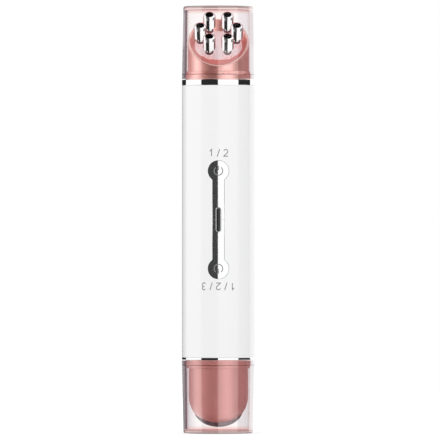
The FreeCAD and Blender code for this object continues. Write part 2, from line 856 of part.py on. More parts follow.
def upper_lead():
    """From the board's back, up and on to the underside of the light board."""
    lane = board_back_y + lead_thickness / 2
    end = face_point(upper_head, -lead_inset, -(deck_depth + led_board_thickness))
    stop = (end[0], end[1] - lead_thickness / 2)
    start = upper_rib_z + rib_thickness + lead_rib_gap
    knee = tube_top_z - plug_depth
    return flat_lead([(lane, start), (lane, knee), (stop[0], knee + lead_run), stop])


def lower_lead():
    """From the board's back, down to the motor holder."""
    lane = board_back_y + lead_thickness / 2
    return flat_lead([(lane, lower_rib_z - lead_rib_gap), (lane, tube_bottom_z + plug_depth)])


def save(node, shape):
    shape.exportStep("parts/" + node + ".step")
    print(f"{node}: volume {shape.Volume:.1f} mm3, valid {shape.isValid()}, solids {len(shape.Solids)}")


def main():
    os.makedirs("parts", exist_ok=True)
    save("body_tube", body_tube())
    save("upper_trim_ring", trim_ring(tube_top_z, upper_ring_height))
    save("lower_trim_ring", trim_ring(lower_seat_z, lower_ring_height))
    save("upper_head_shell", upper_head_shell())
    save("light_lens", light_lens())
    for number, (x, y) in enumerate(places_round(electrode_circle, 0), start=1):
        save(f"electrode_{number}", electrode(x, y))
    save("electrode_nuts", electrode_nuts())
    save("led_board", led_board())
    save("light_leds", light_leds())
    save("lower_head_shell", lower_head_shell())
    save("heat_plate", heat_plate())
    save("heat_plate_seal", heat_plate_seal())
    save("heater_film", heater_film())
    save("thermistor", thermistor())
    save("motor_holder", motor_holder())
    save("vibration_motor", vibration_motor())
    save("motor_shaft", motor_shaft())
    save("eccentric_weight", eccentric_weight())
    save("upper_key", key_half(1))
    save("lower_key", key_half(-1))
    save("key_frame", key_frame())
    save("indicator_window", indicator_window())
    save("indicator_led", indicator_led())
    save("main_board", main_board())
    save("board_screws", board_screws())
    save("board_parts", board_parts())
    save("upper_switch", switch(upper_key_z))
    save("lower_switch", switch(lower_key_z))
    save("upper_switch_plunger", switch_plunger(upper_key_z))
    save("lower_switch_plunger", switch_plunger(lower_key_z))
    save("inner_sled", inner_sled())
    save("battery", battery())
    save("battery_pad", battery_pad())
    save("usb_socket", usb_socket())
    save("usb_board", usb_board())
    save("upper_lead", upper_lead())
    save("lower_lead", lower_lead())
    upper_cap = cap()
    upper_cap.translate(V(0, 0, upper_mouth_z))
    save("upper_cap", upper_cap)
    lower_cap = cap()
    lower_cap.rotate(V(0, 0, 0), V(1, 0, 0), 180)
    lower_cap.translate(V(0, 0, cap_length))
    save("lower_cap", lower_cap)


main()
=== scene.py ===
# %% [markdown]
# # Dressing a heated eye massager wand
# The wand's working parts come in as a fixed frame of named nodes, in metres, standing on +Z.
# This notebook gives them their finishes, makes the parts whose looks need a finer mesh than a
# working model has, and lights them like a piece of jewellery on a white table.

# %% Load the frame
import math
import bpy
import bmesh
from mathutils import Matrix, Vector


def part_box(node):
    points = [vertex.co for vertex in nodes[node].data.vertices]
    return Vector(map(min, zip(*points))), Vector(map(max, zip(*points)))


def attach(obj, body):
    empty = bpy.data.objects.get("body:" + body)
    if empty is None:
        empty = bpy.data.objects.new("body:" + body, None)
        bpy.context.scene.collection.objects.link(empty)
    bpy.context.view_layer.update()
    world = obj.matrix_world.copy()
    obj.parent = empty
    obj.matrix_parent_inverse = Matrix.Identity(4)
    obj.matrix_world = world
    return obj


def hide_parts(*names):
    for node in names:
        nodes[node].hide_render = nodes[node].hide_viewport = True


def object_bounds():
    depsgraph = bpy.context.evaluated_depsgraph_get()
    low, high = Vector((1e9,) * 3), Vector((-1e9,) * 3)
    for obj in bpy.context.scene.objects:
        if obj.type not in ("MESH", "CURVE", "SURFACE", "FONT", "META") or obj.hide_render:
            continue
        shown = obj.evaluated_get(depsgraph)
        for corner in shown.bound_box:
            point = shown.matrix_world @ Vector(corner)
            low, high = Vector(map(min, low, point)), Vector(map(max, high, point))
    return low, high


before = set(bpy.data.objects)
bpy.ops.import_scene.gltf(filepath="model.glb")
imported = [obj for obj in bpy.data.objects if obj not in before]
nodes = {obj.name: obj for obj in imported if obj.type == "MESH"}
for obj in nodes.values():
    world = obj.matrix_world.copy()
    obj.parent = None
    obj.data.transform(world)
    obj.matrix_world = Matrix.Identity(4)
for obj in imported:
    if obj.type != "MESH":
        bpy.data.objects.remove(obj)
cad_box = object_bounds()
scene = bpy.context.scene
scene.view_settings.view_transform = "Standard"
MM = 0.001
print(f"{len(nodes)} nodes, {(cad_box[1].z - cad_box[0].z) / MM:.1f} mm tall")

# %% [markdown]
# ## Where things are
# Every place is read from the frame's boxes, so a finer mesh lands where the working part is. The
# wand's axis is X = Y = 0, and the front, with the two keys, looks along -Y. Points that are less
# than a hair apart count as one.

# %% Measures from the frame
hair = 0.001 * MM


def low(node):
    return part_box(node)[0]


def high(node):
    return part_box(node)[1]


body_radius = high("body_tube").x
wand_height = cad_box[1].z
panel_z = (low("lower_key").z + high("upper_key").z) / 2
print(f"body radius {body_radius / MM:.2f} mm, panel centre at {panel_z / MM:.2f} mm")

# %% [markdown]
# ## The camera
# A long lens, three metres off and level with the middle of the wand, keeps the two ends equal
# in size as a catalogue picture does. The slight step to the right puts the wand just left of
# the middle of the frame.

# %% Camera
camera_distance = 3.0
frame_width = 0.1691
camera_side_step = 0.0006
camera_height = 0.0819
camera_data = bpy.data.cameras.new("long_lens")
camera_data.sensor_width = 36.0
camera_data.lens = camera_data.sensor_width * camera_distance / frame_width
camera_data.clip_start = 0.1
camera_data.clip_end = 12.0
camera = bpy.data.objects.new("long_lens", camera_data)
camera.location = (camera_side_step, -camera_distance, camera_height)
camera.rotation_euler = (math.pi / 2, 0, 0)
scene.collection.objects.link(camera)
scene.camera = camera
print(f"lens {camera_data.lens:.0f} mm")


# %% [markdown]
# ## Node helpers
# Shader trees are long to write out, so a few small helpers do it: one adds a node and sets its
# plain values, one feeds a socket from another socket or with a plain value, and two make the
# Math and Mix nodes that most trees are built of.

# %% Node helpers
def set_values(node, values):
    """Set a node's input sockets, by name, to plain values."""
    for name, value in values.items():
        node.inputs[name].default_value = value


def add_node(tree, kind, values=None, **settings):
    """A new node. settings are its own properties, values its input sockets' plain values."""
    node = tree.nodes.new(kind)
    for name, value in settings.items():
        setattr(node, name, value)
    set_values(node, values or {})
    return node


def feed(tree, value, socket):
    """Link a socket's value into another socket, or set a plain value there."""
    if isinstance(value, bpy.types.NodeSocket):
        tree.links.new(value, socket)
    else:
        socket.default_value = value


def math_node(tree, operation, *values):
    """A Math node whose inputs are sockets or numbers; returns its output socket."""
    node = add_node(tree, "ShaderNodeMath", operation=operation)
    for slot, value in enumerate(values):
        feed(tree, value, node.inputs[slot])
    return node.outputs[0]


# %% Colour and share helpers
def mix_colour(tree, share, first, second):
    """Blend two colours; share, first and second are sockets or plain values."""
    node = add_node(tree, "ShaderNodeMix", data_type="RGBA")
    for slot, value in ((0, share), (6, first), (7, second)):
        feed(tree, value, node.inputs[slot])
    return node.outputs[2]


def opposite(tree, share):
    """1 minus a share."""
    return math_node(tree, "SUBTRACT", 1.0, share)


def both(tree, first, second):
    """The part that two shares have in common."""
    return math_node(tree, "MULTIPLY", first, second)


def grey(level):
    return (level, level, level, 1)


def new_material(name):
    """A new material, with its node tree and its Principled shader."""
    material = bpy.data.materials.new(name)
    material.use_nodes = True
    tree = material.node_tree
    return material, tree, tree.nodes["Principled BSDF"]


print("node helpers:", ", ".join(helper.__name__ for helper in (add_node, feed, math_node, mix_colour)))

# %% [markdown]
# ## The studio
# Polished metal has no colour of its own: it shows the room. The room here is a ring of white
# cards with black gaps between them, told apart by the direction that a reflected ray leaves in.
# A lamp for each card would work too, but cards in the world have clean edges and throw no
# shadow. Light Path counts a ray's reflections, so a ray that only passed through the clear caps
# still sees the plain white behind the wand. The light for matt surfaces is even all round.

# %% Cards and gaps
card_white = 1.08
gap_black = 0.024
roof_black = 0.003
even_light = 1.02
capped_light = 1.2
behind_white = 1.0
# Each stop is where a card or a gap starts, in degrees round the wand: 0 is towards the camera
# and + is towards +X.
ring_stops = [(-180, 1), (-176, 0), (-126, 1), (-57, 0), (-2, 1), (65, 0), (120.5, 1)]
floor_stops = [(-180, 0), (-130, 1), (-66, 0), (0, 1), (96, 0), (177, 1)]
print("studio of", len(ring_stops), "cards and gaps, and", len(floor_stops), "below them")

# %% [markdown]
# The caps change what the metal under them shows. It sees the same cards with soft edges, and a
# pale strip of eaves lights the bullets' upper edges, with a dark notch where the gap is. A ray
# that is mirrored inside a cap's wall sees the wall's own fall-off of light.

# %% Soft cards, eaves and wall
eaves_stops = [(-180, 1.08), (-70, 1.08), (-54, 0.10), (-6, 0.10), (4, 1.08), (180, 1.08)]
soft_stops = [(-180, 0.66), (-164, 0.50), (-144, 0.35), (-126, 0.50), (-112, 0.60), (-88, 1.60),
              (-62, 0.62), (-40, 0.19), (-26, 0.06), (-6, 0.09), (4, 0.60), (24, 1.50), (45, 1.40),
              (68, 0.13), (102, 0.38), (144, 0.40), (164, 0.50), (180, 0.66)]
soft_blush = 0.38
soft_blush_from = 120
wall_light = (1.0, 0.95, 0.95)
wall_gap = (0.05, 0.04, 0.04)
wall_stops = [(-180, wall_light), (-150, wall_light), (-134, (0.66, 0.60, 0.63)),
              (-124, (0.36, 0.28, 0.31)), (-118, (0.16, 0.115, 0.13)), (-108, (0.14, 0.105, 0.12)),
              (-100, wall_light), (-58, wall_light), (-57, wall_gap), (-3, wall_gap), (-2, wall_light),
              (65, wall_light), (66, wall_gap), (90, wall_gap), (97, (1.0, 0.97, 0.97)),
              (102, (0.58, 0.50, 0.52)), (108, (0.66, 0.58, 0.60)), (118, (0.84, 0.77, 0.79)),
              (126, (0.72, 0.67, 0.69)), (136, (0.74, 0.70, 0.72)), (150, (1.0, 0.97, 0.97))]


def soft_colour(degrees, level):
    """Behind the wand the far side of a gold shell shows, so the room turns rosy there."""
    blush = soft_blush if abs(degrees) > soft_blush_from else 1.0
    return (level, level * blush, level * blush)


soft_colours = [(degrees, soft_colour(degrees, level)) for degrees, level in soft_stops]
eaves_colours = [(degrees, (level, level, level)) for degrees, level in eaves_stops]
print("softest gap", min(level for degrees, level in soft_stops), "brightest card",
      max(level for degrees, level in soft_stops))


# %% Ramps round the horizon
def ring_of_colours(tree, turn, stops, interpolation="LINEAR"):
    """A colour ramp round the horizon; stops are (degrees, colour)."""
    ramp = add_node(tree, "ShaderNodeValToRGB")
    ramp.color_ramp.interpolation = interpolation
    points = ramp.color_ramp.elements
    points.remove(points[1])
    for index, (degrees, colour) in enumerate(stops):
        place = (degrees + 180) / 360
        point = points[0] if index == 0 else points.new(place)
        point.position = place
        point.color = (*colour, 1)
    feed(tree, turn, ramp.inputs["Fac"])
    return ramp.outputs["Color"]


def ring_of_cards(tree, turn, stops):
    """White cards and black gaps with hard edges; stops are (degrees, whether a card starts)."""
    levels = [(degrees, (card_white if lit else gap_black,) * 3) for degrees, lit in stops]
    return ring_of_colours(tree, turn, levels, "CONSTANT")


def turn_share(tree, angle, whole):
    """An angle between minus and plus half of the whole, as a share from 0 to 1."""
    return math_node(tree, "ADD", math_node(tree, "DIVIDE", angle, whole), 0.5)


def above(tree, z, elevation):
    """1 where a direction points higher than this many degrees."""
    return math_node(tree, "GREATER_THAN", z, math.sin(math.radians(elevation)))


print("cards start at", [degrees for degrees, lit in ring_stops if lit], "degrees")

# %% [markdown]
# ## Which card a ray sees
# Level rays go by their own direction. Rays that point down come off the slanted faces, and
# there the direction crowds the cards together. So they go by how a surface must face to mirror
# the front that way: across, which picks the card, and down, which picks the band. The bullets
# lean by the same angle all along, so one narrow band of leans keeps the hard cards for them. A
# face that leans more than under_lean looks down at the dark floor.

# %% Cards for rays that point down
# Leans and elevations are in degrees, as the stops are.
card_lean = 45.0
lean_band = 2.0
under_lean = 52.0


def low_cards(tree, x, y, z, capped):
    """What rays see that point down: cards, their soft form under a cap, or the dark floor."""
    span = math_node(tree, "SQRT", math_node(tree, "MULTIPLY", opposite(tree, y), 2.0))
    faced = turn_share(tree, math_node(tree, "ARCSINE", math_node(tree, "DIVIDE", x, span)), math.pi)
    slope = math_node(tree, "DIVIDE", z, opposite(tree, y))
    on_bullets = math_node(tree, "COMPARE", slope, -math.tan(math.radians(card_lean)),
                           2 * math.radians(lean_band))
    cards = ring_of_cards(tree, faced, floor_stops)
    soft_below = both(tree, capped, opposite(tree, on_bullets))
    cards = mix_colour(tree, soft_below, cards, ring_of_colours(tree, faced, soft_colours))
    leaning = math_node(tree, "DIVIDE", z, span)
    is_under = math_node(tree, "LESS_THAN", leaning, -math.sin(math.radians(under_lean)))
    return mix_colour(tree, is_under, cards, grey(gap_black))


print(f"bullets lean {card_lean:.0f} degrees, and the dark floor starts at {under_lean:.0f}")


# %% All that a mirrored ray sees
floor_elevation = -14.0
eaves_elevation = 14.0
roof_elevation = 56.0
# A ray that points further back than this misses the eaves: 1 is straight back.
eaves_back = 0.55


def mirrored_room(tree, direction, path):
    """What a mirrored ray sees, by its direction and by whether it came through a cap."""
    parts = add_node(tree, "ShaderNodeSeparateXYZ")
    feed(tree, direction, parts.inputs[0])
    x, y, z = parts.outputs
    turn = math_node(tree, "ARCTAN2", x, math_node(tree, "MULTIPLY", y, -1.0))
    turn = turn_share(tree, turn, 2 * math.pi)
    capped = math_node(tree, "GREATER_THAN", path["Transmission Depth"], 0.5)
    soft = ring_of_colours(tree, turn, soft_colours)
    ring = mix_colour(tree, capped, ring_of_cards(tree, turn, ring_stops), soft)
    is_below = math_node(tree, "LESS_THAN", z, math.sin(math.radians(floor_elevation)))
    cards = mix_colour(tree, is_below, ring, low_cards(tree, x, y, z, capped))
    under_eaves = both(tree, capped, math_node(tree, "LESS_THAN", y, eaves_back))
    is_eaves = both(tree, above(tree, z, eaves_elevation), under_eaves)
    cards = mix_colour(tree, is_eaves, cards, ring_of_colours(tree, turn, eaves_colours))
    cards = mix_colour(tree, above(tree, z, roof_elevation), cards, grey(roof_black))
    # One entry and no exit: the ray was mirrored inside a cap's wall.
    in_wall = math_node(tree, "COMPARE", path["Transmission Depth"], 1.0)
    return mix_colour(tree, in_wall, cards, ring_of_colours(tree, turn, wall_stops)), capped


print(f"eaves above {eaves_elevation:.0f} degrees and a dark roof above {roof_elevation:.0f}")

# %% [markdown]
# The world's own tree asks Light Path what kind of ray came. An image of a studio could be laid
# on the world too, but a ramp's stops stay numbers that can be read and changed.

# %% The studio world
def make_studio():
    """Cards for mirrored rays, even light for scattered ones and plain white for all others."""
    world = bpy.data.worlds.new("studio")
    scene.world = world
    world.use_nodes = True
    world.cycles.sampling_method = "NONE"
    tree = world.node_tree
    tree.nodes.clear()
    direction = add_node(tree, "ShaderNodeTexCoord").outputs["Generated"]
    path = add_node(tree, "ShaderNodeLightPath").outputs
    cards, capped = mirrored_room(tree, direction, path)
    even = mix_colour(tree, capped, grey(even_light), grey(capped_light))
    reflected = math_node(tree, "GREATER_THAN", path["Glossy Depth"], 0.5)
    scattered = math_node(tree, "GREATER_THAN", path["Diffuse Depth"], 0.5)
    colour = mix_colour(tree, reflected, grey(behind_white), cards)
    colour = mix_colour(tree, scattered, colour, even)
    background = add_node(tree, "ShaderNodeBackground")
    feed(tree, colour, background.inputs["Color"])
    output = add_node(tree, "ShaderNodeOutputWorld")
    feed(tree, background.outputs[0], output.inputs["Surface"])
    return world


print("studio world of", len(make_studio().node_tree.nodes), "nodes")

# %% [markdown]
# ## One soft lamp and the table
# A single large lamp from the upper left gives the matt surfaces a gentle turn and the table a
# faint shadow. Metal and glass don't see the lamp, only the cards. The table is pale, and it
# adds a little light of its own for the camera alone, so it runs into the white background.

# %% The soft lamp
lamp_side = 0.9
lamp_power = 1.3
lamp_place = Vector((-0.55, -0.9, 0.95))


def make_lamp():
    data = bpy.data.lights.new("soft_lamp", "AREA")
    data.shape = "RECTANGLE"
    data.size = lamp_side
    data.size_y = lamp_side
    data.energy = lamp_power
    lamp = bpy.data.objects.new("soft_lamp", data)
    lamp.location = lamp_place
    aim = Vector((0, 0, panel_z)) - lamp_place
    lamp.rotation_euler = aim.to_track_quat("-Z", "Y").to_euler()
    lamp.visible_glossy = False
    lamp.visible_transmission = False
    scene.collection.objects.link(lamp)
    return lamp


print("lit by", make_lamp().name, "of", lamp_power, "W")

# %% The table
table_radius = 0.6
table_white = 0.86
table_roughness = 0.9
table_glow = 0.22


def table_paper():
    """Matt pale paper that glows a little for the camera alone."""
    material, tree, shader = new_material("table_paper")
    set_values(shader, {"Base Color": grey(table_white), "Roughness": table_roughness,
                        "Specular IOR Level": 0.0, "Emission Color": grey(1.0)})
    camera_only = add_node(tree, "ShaderNodeLightPath").outputs["Is Camera Ray"]
    feed(tree, math_node(tree, "MULTIPLY", camera_only, table_glow), shader.inputs["Emission Strength"])
    return material


def make_table():
    mesh = bpy.data.meshes.new("table")
    work = bmesh.new()
    bmesh.ops.create_circle(work, cap_ends=True, segments=128, radius=table_radius)
    work.to_mesh(mesh)
    work.free()
    table = bpy.data.objects.new("table", mesh)
    scene.collection.objects.link(table)
    table.visible_glossy = False
    table.visible_transmission = False
    mesh.materials.append(table_paper())
    return table


print("standing on a", make_table().name, "of radius", table_radius, "m")

# %% [markdown]
# ## Shared surface effects
# Three effects turn up on every finish but the caps'. A tone drifts a little from place to place,
# handling leaves faint cloudy marks that change how sharp a reflection is, and moulding or
# plating leaves a very fine waviness. Each is a node group, built once, that puts out a colour, a
# value or a height and leaves the shader to the material.

# %% Helpers for groups
def new_group(name, inputs, outputs):
    """A shader node group with named sockets, its input and output nodes placed."""
    group = bpy.data.node_groups.new(name, "ShaderNodeTree")
    for label, value in inputs.items():
        kind = "NodeSocketColor" if isinstance(value, tuple) else "NodeSocketFloat"
        socket = group.interface.new_socket(label, in_out="INPUT", socket_type=kind)
        socket.default_value = value
    for label, kind in outputs.items():
        group.interface.new_socket(label, in_out="OUTPUT", socket_type=kind)
    start = group.nodes.new("NodeGroupInput")
    end = group.nodes.new("NodeGroupOutput")
    place = group.nodes.new("ShaderNodeTexCoord").outputs["Object"]
    return group, start.outputs, end.inputs, place


def noise(tree, place, scale, detail=3.0, roughness=0.55):
    """A noise value in 0 to 1; scale is a socket or a number per metre."""
    node = add_node(tree, "ShaderNodeTexNoise", {"Detail": detail, "Roughness": roughness})
    feed(tree, place, node.inputs["Vector"])
    feed(tree, scale, node.inputs["Scale"])
    return node.outputs[0]


# %% Handling marks
fine_over_cloudy = 9.0
marks_gain = 4.0


def build_handling_marks():
    """Roughness that rises in faint cloudy patches, as on anything that has been held."""
    group, given, out, place = new_group(
        "handling_marks", {"Roughness": 0.2, "Amount": 0.05, "Scale": 150.0},
        {"Roughness": "NodeSocketFloat"})
    cloud = noise(group, place, given["Scale"])
    fine = noise(group, place, math_node(group, "MULTIPLY", given["Scale"], fine_over_cloudy))
    marks = math_node(group, "MULTIPLY", cloud, fine)
    most = math_node(group, "MULTIPLY", given["Amount"], marks_gain)
    rise = math_node(group, "MULTIPLY", marks, most)
    feed(group, math_node(group, "ADD", given["Roughness"], rise), out["Roughness"])
    return group


handling_marks = build_handling_marks()
print("marks from", len(handling_marks.nodes), "nodes")


# %% Fine skin
def build_fine_skin():
    """The height of a very fine waviness, in metres."""
    group, given, out, place = new_group(
        "fine_skin", {"Grain": 4000.0, "Depth": 0.000002}, {"Height": "NodeSocketFloat"})
    grain = noise(group, place, given["Grain"], detail=2.0)
    feed(group, math_node(group, "MULTIPLY", grain, given["Depth"]), out["Height"])
    return group


fine_skin = build_fine_skin()
print("skin from", len(fine_skin.nodes), "nodes")


# %% Tone drift
def build_tone_drift():
    """A colour that drifts a little from place to place, so that no surface is one flat tone."""
    group, given, out, place = new_group(
        "tone_drift", {"Colour": grey(0.8), "Drift": 0.04, "Scale": 60.0}, {"Colour": "NodeSocketColor"})
    cloud = noise(group, place, given["Scale"])
    swing = math_node(group, "SUBTRACT", cloud, 0.5)
    factor = math_node(group, "ADD", math_node(group, "MULTIPLY", swing, given["Drift"]), 1.0)
    scaled = add_node(group, "ShaderNodeVectorMath", operation="SCALE")
    feed(group, given["Colour"], scaled.inputs[0])
    feed(group, factor, scaled.inputs["Scale"])
    feed(group, scaled.outputs[0], out["Colour"])
    return group


tone_drift = build_tone_drift()
print("effect groups:", [group.name for group in bpy.data.node_groups])


# %% [markdown]
# ## Finishes
# A finish is a Principled shader with its steady values on its own sockets, and the three
# effects feeding colour, roughness and normal. One function builds them all but the caps' clear
# plastic, and each finish is one call.

# %% A finish
def place_group(tree, group, values):
    node = tree.nodes.new("ShaderNodeGroup")
    node.node_tree = group
    set_values(node, values)
    return node


def finish(name, colour, roughness, metallic=0.0, drift=0.04, drift_scale=60.0, marks=0.03,
           marks_scale=150.0, grain=4000.0, grain_depth=0.000002, **steady):
    """A material with drifting tone, handling marks and a fine skin. steady are shader values."""
    material, tree, shader = new_material(name)
    set_values(shader, {"Metallic": metallic})
    set_values(shader, {socket.replace("_", " "): value for socket, value in steady.items()})
    tone = place_group(tree, tone_drift, {"Colour": (*colour, 1), "Drift": drift, "Scale": drift_scale})
    feed(tree, tone.outputs["Colour"], shader.inputs["Base Color"])
    handled = place_group(tree, handling_marks,
                          {"Roughness": roughness, "Amount": marks, "Scale": marks_scale})
    feed(tree, handled.outputs["Roughness"], shader.inputs["Roughness"])
    skin = place_group(tree, fine_skin, {"Grain": grain, "Depth": grain_depth})
    bump = add_node(tree, "ShaderNodeBump", {"Strength": 1.0, "Distance": 1.0})
    feed(tree, skin.outputs["Height"], bump.inputs["Height"])
    feed(tree, bump.outputs["Normal"], shader.inputs["Normal"])
    return material


# %% [markdown]
# ## The finishes that show
# White lacquered plastic, chrome plating, rose-gold plating under a clear lacquer, a frosted lens,
# polished steel and a smoked window. The gold is made twice, brighter and glossier on the upper
# head than on the lower one.

# %% Outer finishes
finishes = {
    "body_white": finish("body_white", (0.90, 0.90, 0.905), 0.14, drift=0.012, marks=0.02),
    "trim_chrome": finish("trim_chrome", (0.95, 0.95, 0.955), 0.02, 1.0, drift=0.02, marks=0.015,
                          grain_depth=0.0000002),
    "key_chrome": finish("key_chrome", (0.94, 0.94, 0.945), 0.05, 0.965, drift=0.02, marks=0.02,
                         grain_depth=0.0000003),
    "electrode_chrome": finish("electrode_chrome", (0.95, 0.95, 0.955), 0.03, 1.0, drift=0.02,
                               marks=0.015, grain_depth=0.0000002),
    "rose_gold": finish("rose_gold", (0.71, 0.258, 0.238), 0.38, 0.355, drift=0.03, marks=0.02,
                        grain_depth=0.0000003, Coat_Weight=1.0, Coat_IOR=1.67, Coat_Roughness=0.28),
    "bright_gold": finish("bright_gold", (1.0, 0.37, 0.31), 0.29, 0.69, drift=0.03, marks=0.02,
                          grain_depth=0.0000003, Coat_Weight=1.0, Coat_IOR=2.7, Coat_Roughness=0.19),
    "lens_frost": finish("lens_frost", (0.84, 0.70, 0.73), 0.3, drift=0.03, marks=0.02,
                         Emission_Color=(1.0, 0.86, 0.88, 1.0), Emission_Strength=0.13),
    "plate_steel": finish("plate_steel", (0.19, 0.145, 0.162), 0.12, 0.28, drift=0.03, marks=0.03),
    # polished_rose is a bright matt pink, not metal: a painted highlight for the upper head's rim.
    "polished_rose": finish("polished_rose", (1.0, 0.66, 0.60), 0.30, drift=0.03, marks=0.02),
    # seat_rose is very dark: a washer's rose with painted shade of the bullets' necks in it.
    "seat_rose": finish("seat_rose", (0.16, 0.06, 0.07), 0.30, drift=0.03, marks=0.02),
    "printed_grey": finish("printed_grey", (0.24, 0.24, 0.25), 0.5, drift=0.03, marks=0.02),
    "window_dark": finish("window_dark", (0.016, 0.016, 0.018), 0.08, drift=0.1, marks=0.02),
}
print(len(finishes), "outer finishes")

# %% [markdown]
# ## The clear caps' plastic
# Clear plastic is all refraction: its tint, its index and a flawless surface do the work. The
# moulding die is polished on the outside only, so the outer skin gets an extra clear coat, and a
# mask on Object coordinates and Backfacing keeps that coat off the bore. The coat is held back
# before the bullets, where its shine would veil them, and in one strip on the left side.

# %% Sizes of the clear plastic's zones, in millimetres
cap_length = 28.0
cap_counterbore = 1.8
skin_reach = 13.2
side_reach = 12.6
calm_heights = (148.5, 161.5)
calm_fades = (1.5, 0.4)
calm_share = 0.96
strip_start = (-12.9, -12.4)
strip_end = (-12.0, -8.4)
end_depths = (3.0, 1.0)
# Painted shade: dark lines at the end corners, across the inner floor and at the mouth's step.
corner_shade_depths = (0.8, 0.5)
floor_shade_line_height = 1.2
floor_shade_line_half = 0.2
step_shade_half = 0.14
flank_reaches = (11.9, 12.5)
# Painted grey reflection of the room, on the right of both caps and low on the left of the lower one.
painted_grey_right_span = (7.5, 7.8)
painted_grey_left_span = (-12.0, -8.6)
half_height = wand_height / 2 / MM
step_from_middle = half_height - cap_length + cap_counterbore
print(f"the steps in the caps' mouths are {step_from_middle:.1f} mm from the middle")

# %% [markdown]
# The tint deepens towards the closed ends, where the plastic is thickest. The zones also paint
# the fine dark lines of shade that clear plastic shows wherever it turns a corner or steps.
# Refraction alone would make those lines too fine to see, so the painted shade gives them the
# width that a real radius has. On the right, and low on the left, a painted grey reflection of
# the room's greys makes the plastic a shade darker.

# %% Tints and gloss of the clear plastic
cap_tints = {
    "clear": (0.995, 0.97, 0.965, 1),
    # Painted grey reflections of the room, on two sides:
    "painted grey right": (0.935, 0.905, 0.915, 1),
    "painted grey low left": (0.84, 0.81, 0.83, 1),
    "thick end": (0.92, 0.68, 0.655, 1),
    # Painted dark lines of shade, where the plastic turns a corner or steps:
    "painted floor shade line": (0.26, 0.10, 0.10, 1),
    "corner": (0.14, 0.085, 0.08, 1),
    "step": (0.68, 0.54, 0.52, 1),
}
cap_gloss = {"Metallic": 0.0, "Roughness": 0.0, "Transmission Weight": 1.0, "IOR": 1.4,
             "Specular Tint": (0.08, 0.08, 0.08, 1), "Coat IOR": 1.85, "Coat Roughness": 0.05}
print("cap plastic of", len(cap_tints), "tints and index", cap_gloss["IOR"])


# %% The outer skin's coat
def ramp_between(tree, value, start, end):
    """0 before start, 1 after end, straight in between; start and end are in millimetres."""
    node = add_node(tree, "ShaderNodeMapRange", {"From Min": start * MM, "From Max": end * MM})
    feed(tree, value, node.inputs["Value"])
    return node.outputs["Result"]


def cap_coat(tree, x, z, outside):
    """How much of the outer skin's coat there is: less before the bullets and in the strip."""
    (low_calm, high_calm), (low_fade, high_fade) = calm_heights, calm_fades
    entering = ramp_between(tree, z, low_calm - low_fade, low_calm + low_fade)
    leaving = ramp_between(tree, z, high_calm - high_fade, high_calm + high_fade)
    calm = math_node(tree, "MULTIPLY", math_node(tree, "SUBTRACT", entering, leaving), calm_share)
    past_strip = ramp_between(tree, x, *strip_end)
    before_strip = opposite(tree, ramp_between(tree, x, *strip_start))
    polished = both(tree, outside, opposite(tree, calm))
    return both(tree, polished, math_node(tree, "ADD", past_strip, before_strip))


# %% The tint, zone by zone
def cap_tint(tree, x, y, z, reach, outside):
    """The plastic's tint, with painted shade and painted reflection: one zone after another is laid over
    the clear one.
    """
    from_middle = math_node(tree, "ABSOLUTE", math_node(tree, "SUBTRACT", z, panel_z))
    at_end = [ramp_between(tree, from_middle, *(half_height - depth for depth in depths))
              for depths in (end_depths, corner_shade_depths)]
    at_side = math_node(tree, "GREATER_THAN", reach, side_reach * MM)
    in_lower = math_node(tree, "LESS_THAN", z, panel_z)
    in_front = both(tree, outside, math_node(tree, "LESS_THAN", y, 0.0))
    # A painted dark line of shade across the front of the inner floor.
    on_floor_shade = math_node(tree, "COMPARE", z, floor_shade_line_height * MM, floor_shade_line_half * MM)
    # Painted grey reflection on two sides and painted shade lines at the floor and end corners, over the
    # thick end's own deeper tint.
    zones = {
        "painted grey right": ramp_between(tree, x, *painted_grey_right_span),
        "painted grey low left": both(tree, in_lower, opposite(tree, ramp_between(tree, x, *painted_grey_left_span))),
        "thick end": at_end[0],
        "painted floor shade line": both(tree, on_floor_shade, in_front),
        "corner": both(tree, at_end[1], at_side),
    }
    tint = cap_tints["clear"]
    for zone, share in zones.items():
        tint = mix_colour(tree, share, tint, cap_tints[zone])
    # A painted dark line of shade at the mouth's step, darkest towards the flanks.
    on_step_shade = math_node(tree, "COMPARE", from_middle, step_from_middle * MM, step_shade_half * MM)
    flank = ramp_between(tree, math_node(tree, "ABSOLUTE", x), *flank_reaches)
    step_shade_tint = mix_colour(tree, flank, cap_tints["step"], cap_tints["corner"])
    return mix_colour(tree, on_step_shade, tint, step_shade_tint)


# %% The clear plastic itself
def clear_plastic(name):
    """Flawless tinted plastic, with painted shade and grey reflection in its tint, and a coat on its
    outer skin alone.
    """
    material, tree, shader = new_material(name)
    set_values(shader, cap_gloss)
    parts = add_node(tree, "ShaderNodeSeparateXYZ")
    feed(tree, add_node(tree, "ShaderNodeTexCoord").outputs["Object"], parts.inputs[0])
    x, y, z = parts.outputs
    across, along = (math_node(tree, "MULTIPLY", part, part) for part in (x, y))
    reach = math_node(tree, "SQRT", math_node(tree, "ADD", across, along))
    outside = math_node(tree, "GREATER_THAN", reach, skin_reach * MM)
    facing = opposite(tree, add_node(tree, "ShaderNodeNewGeometry").outputs["Backfacing"])
    feed(tree, both(tree, cap_coat(tree, x, z, outside), facing), shader.inputs["Coat Weight"])
    feed(tree, cap_tint(tree, x, y, z, reach, outside), shader.inputs["Base Color"])
    return material


finishes["cap_clear"] = clear_plastic("cap_clear")
print("clear plastic of", len(finishes["cap_clear"].node_tree.nodes), "nodes")

# %% [markdown]
# ## The finishes inside
# Nothing opens the tube, but an honest model has a finish on every part. A table of colour,
# roughness, metalness and drift of tone is enough for these.

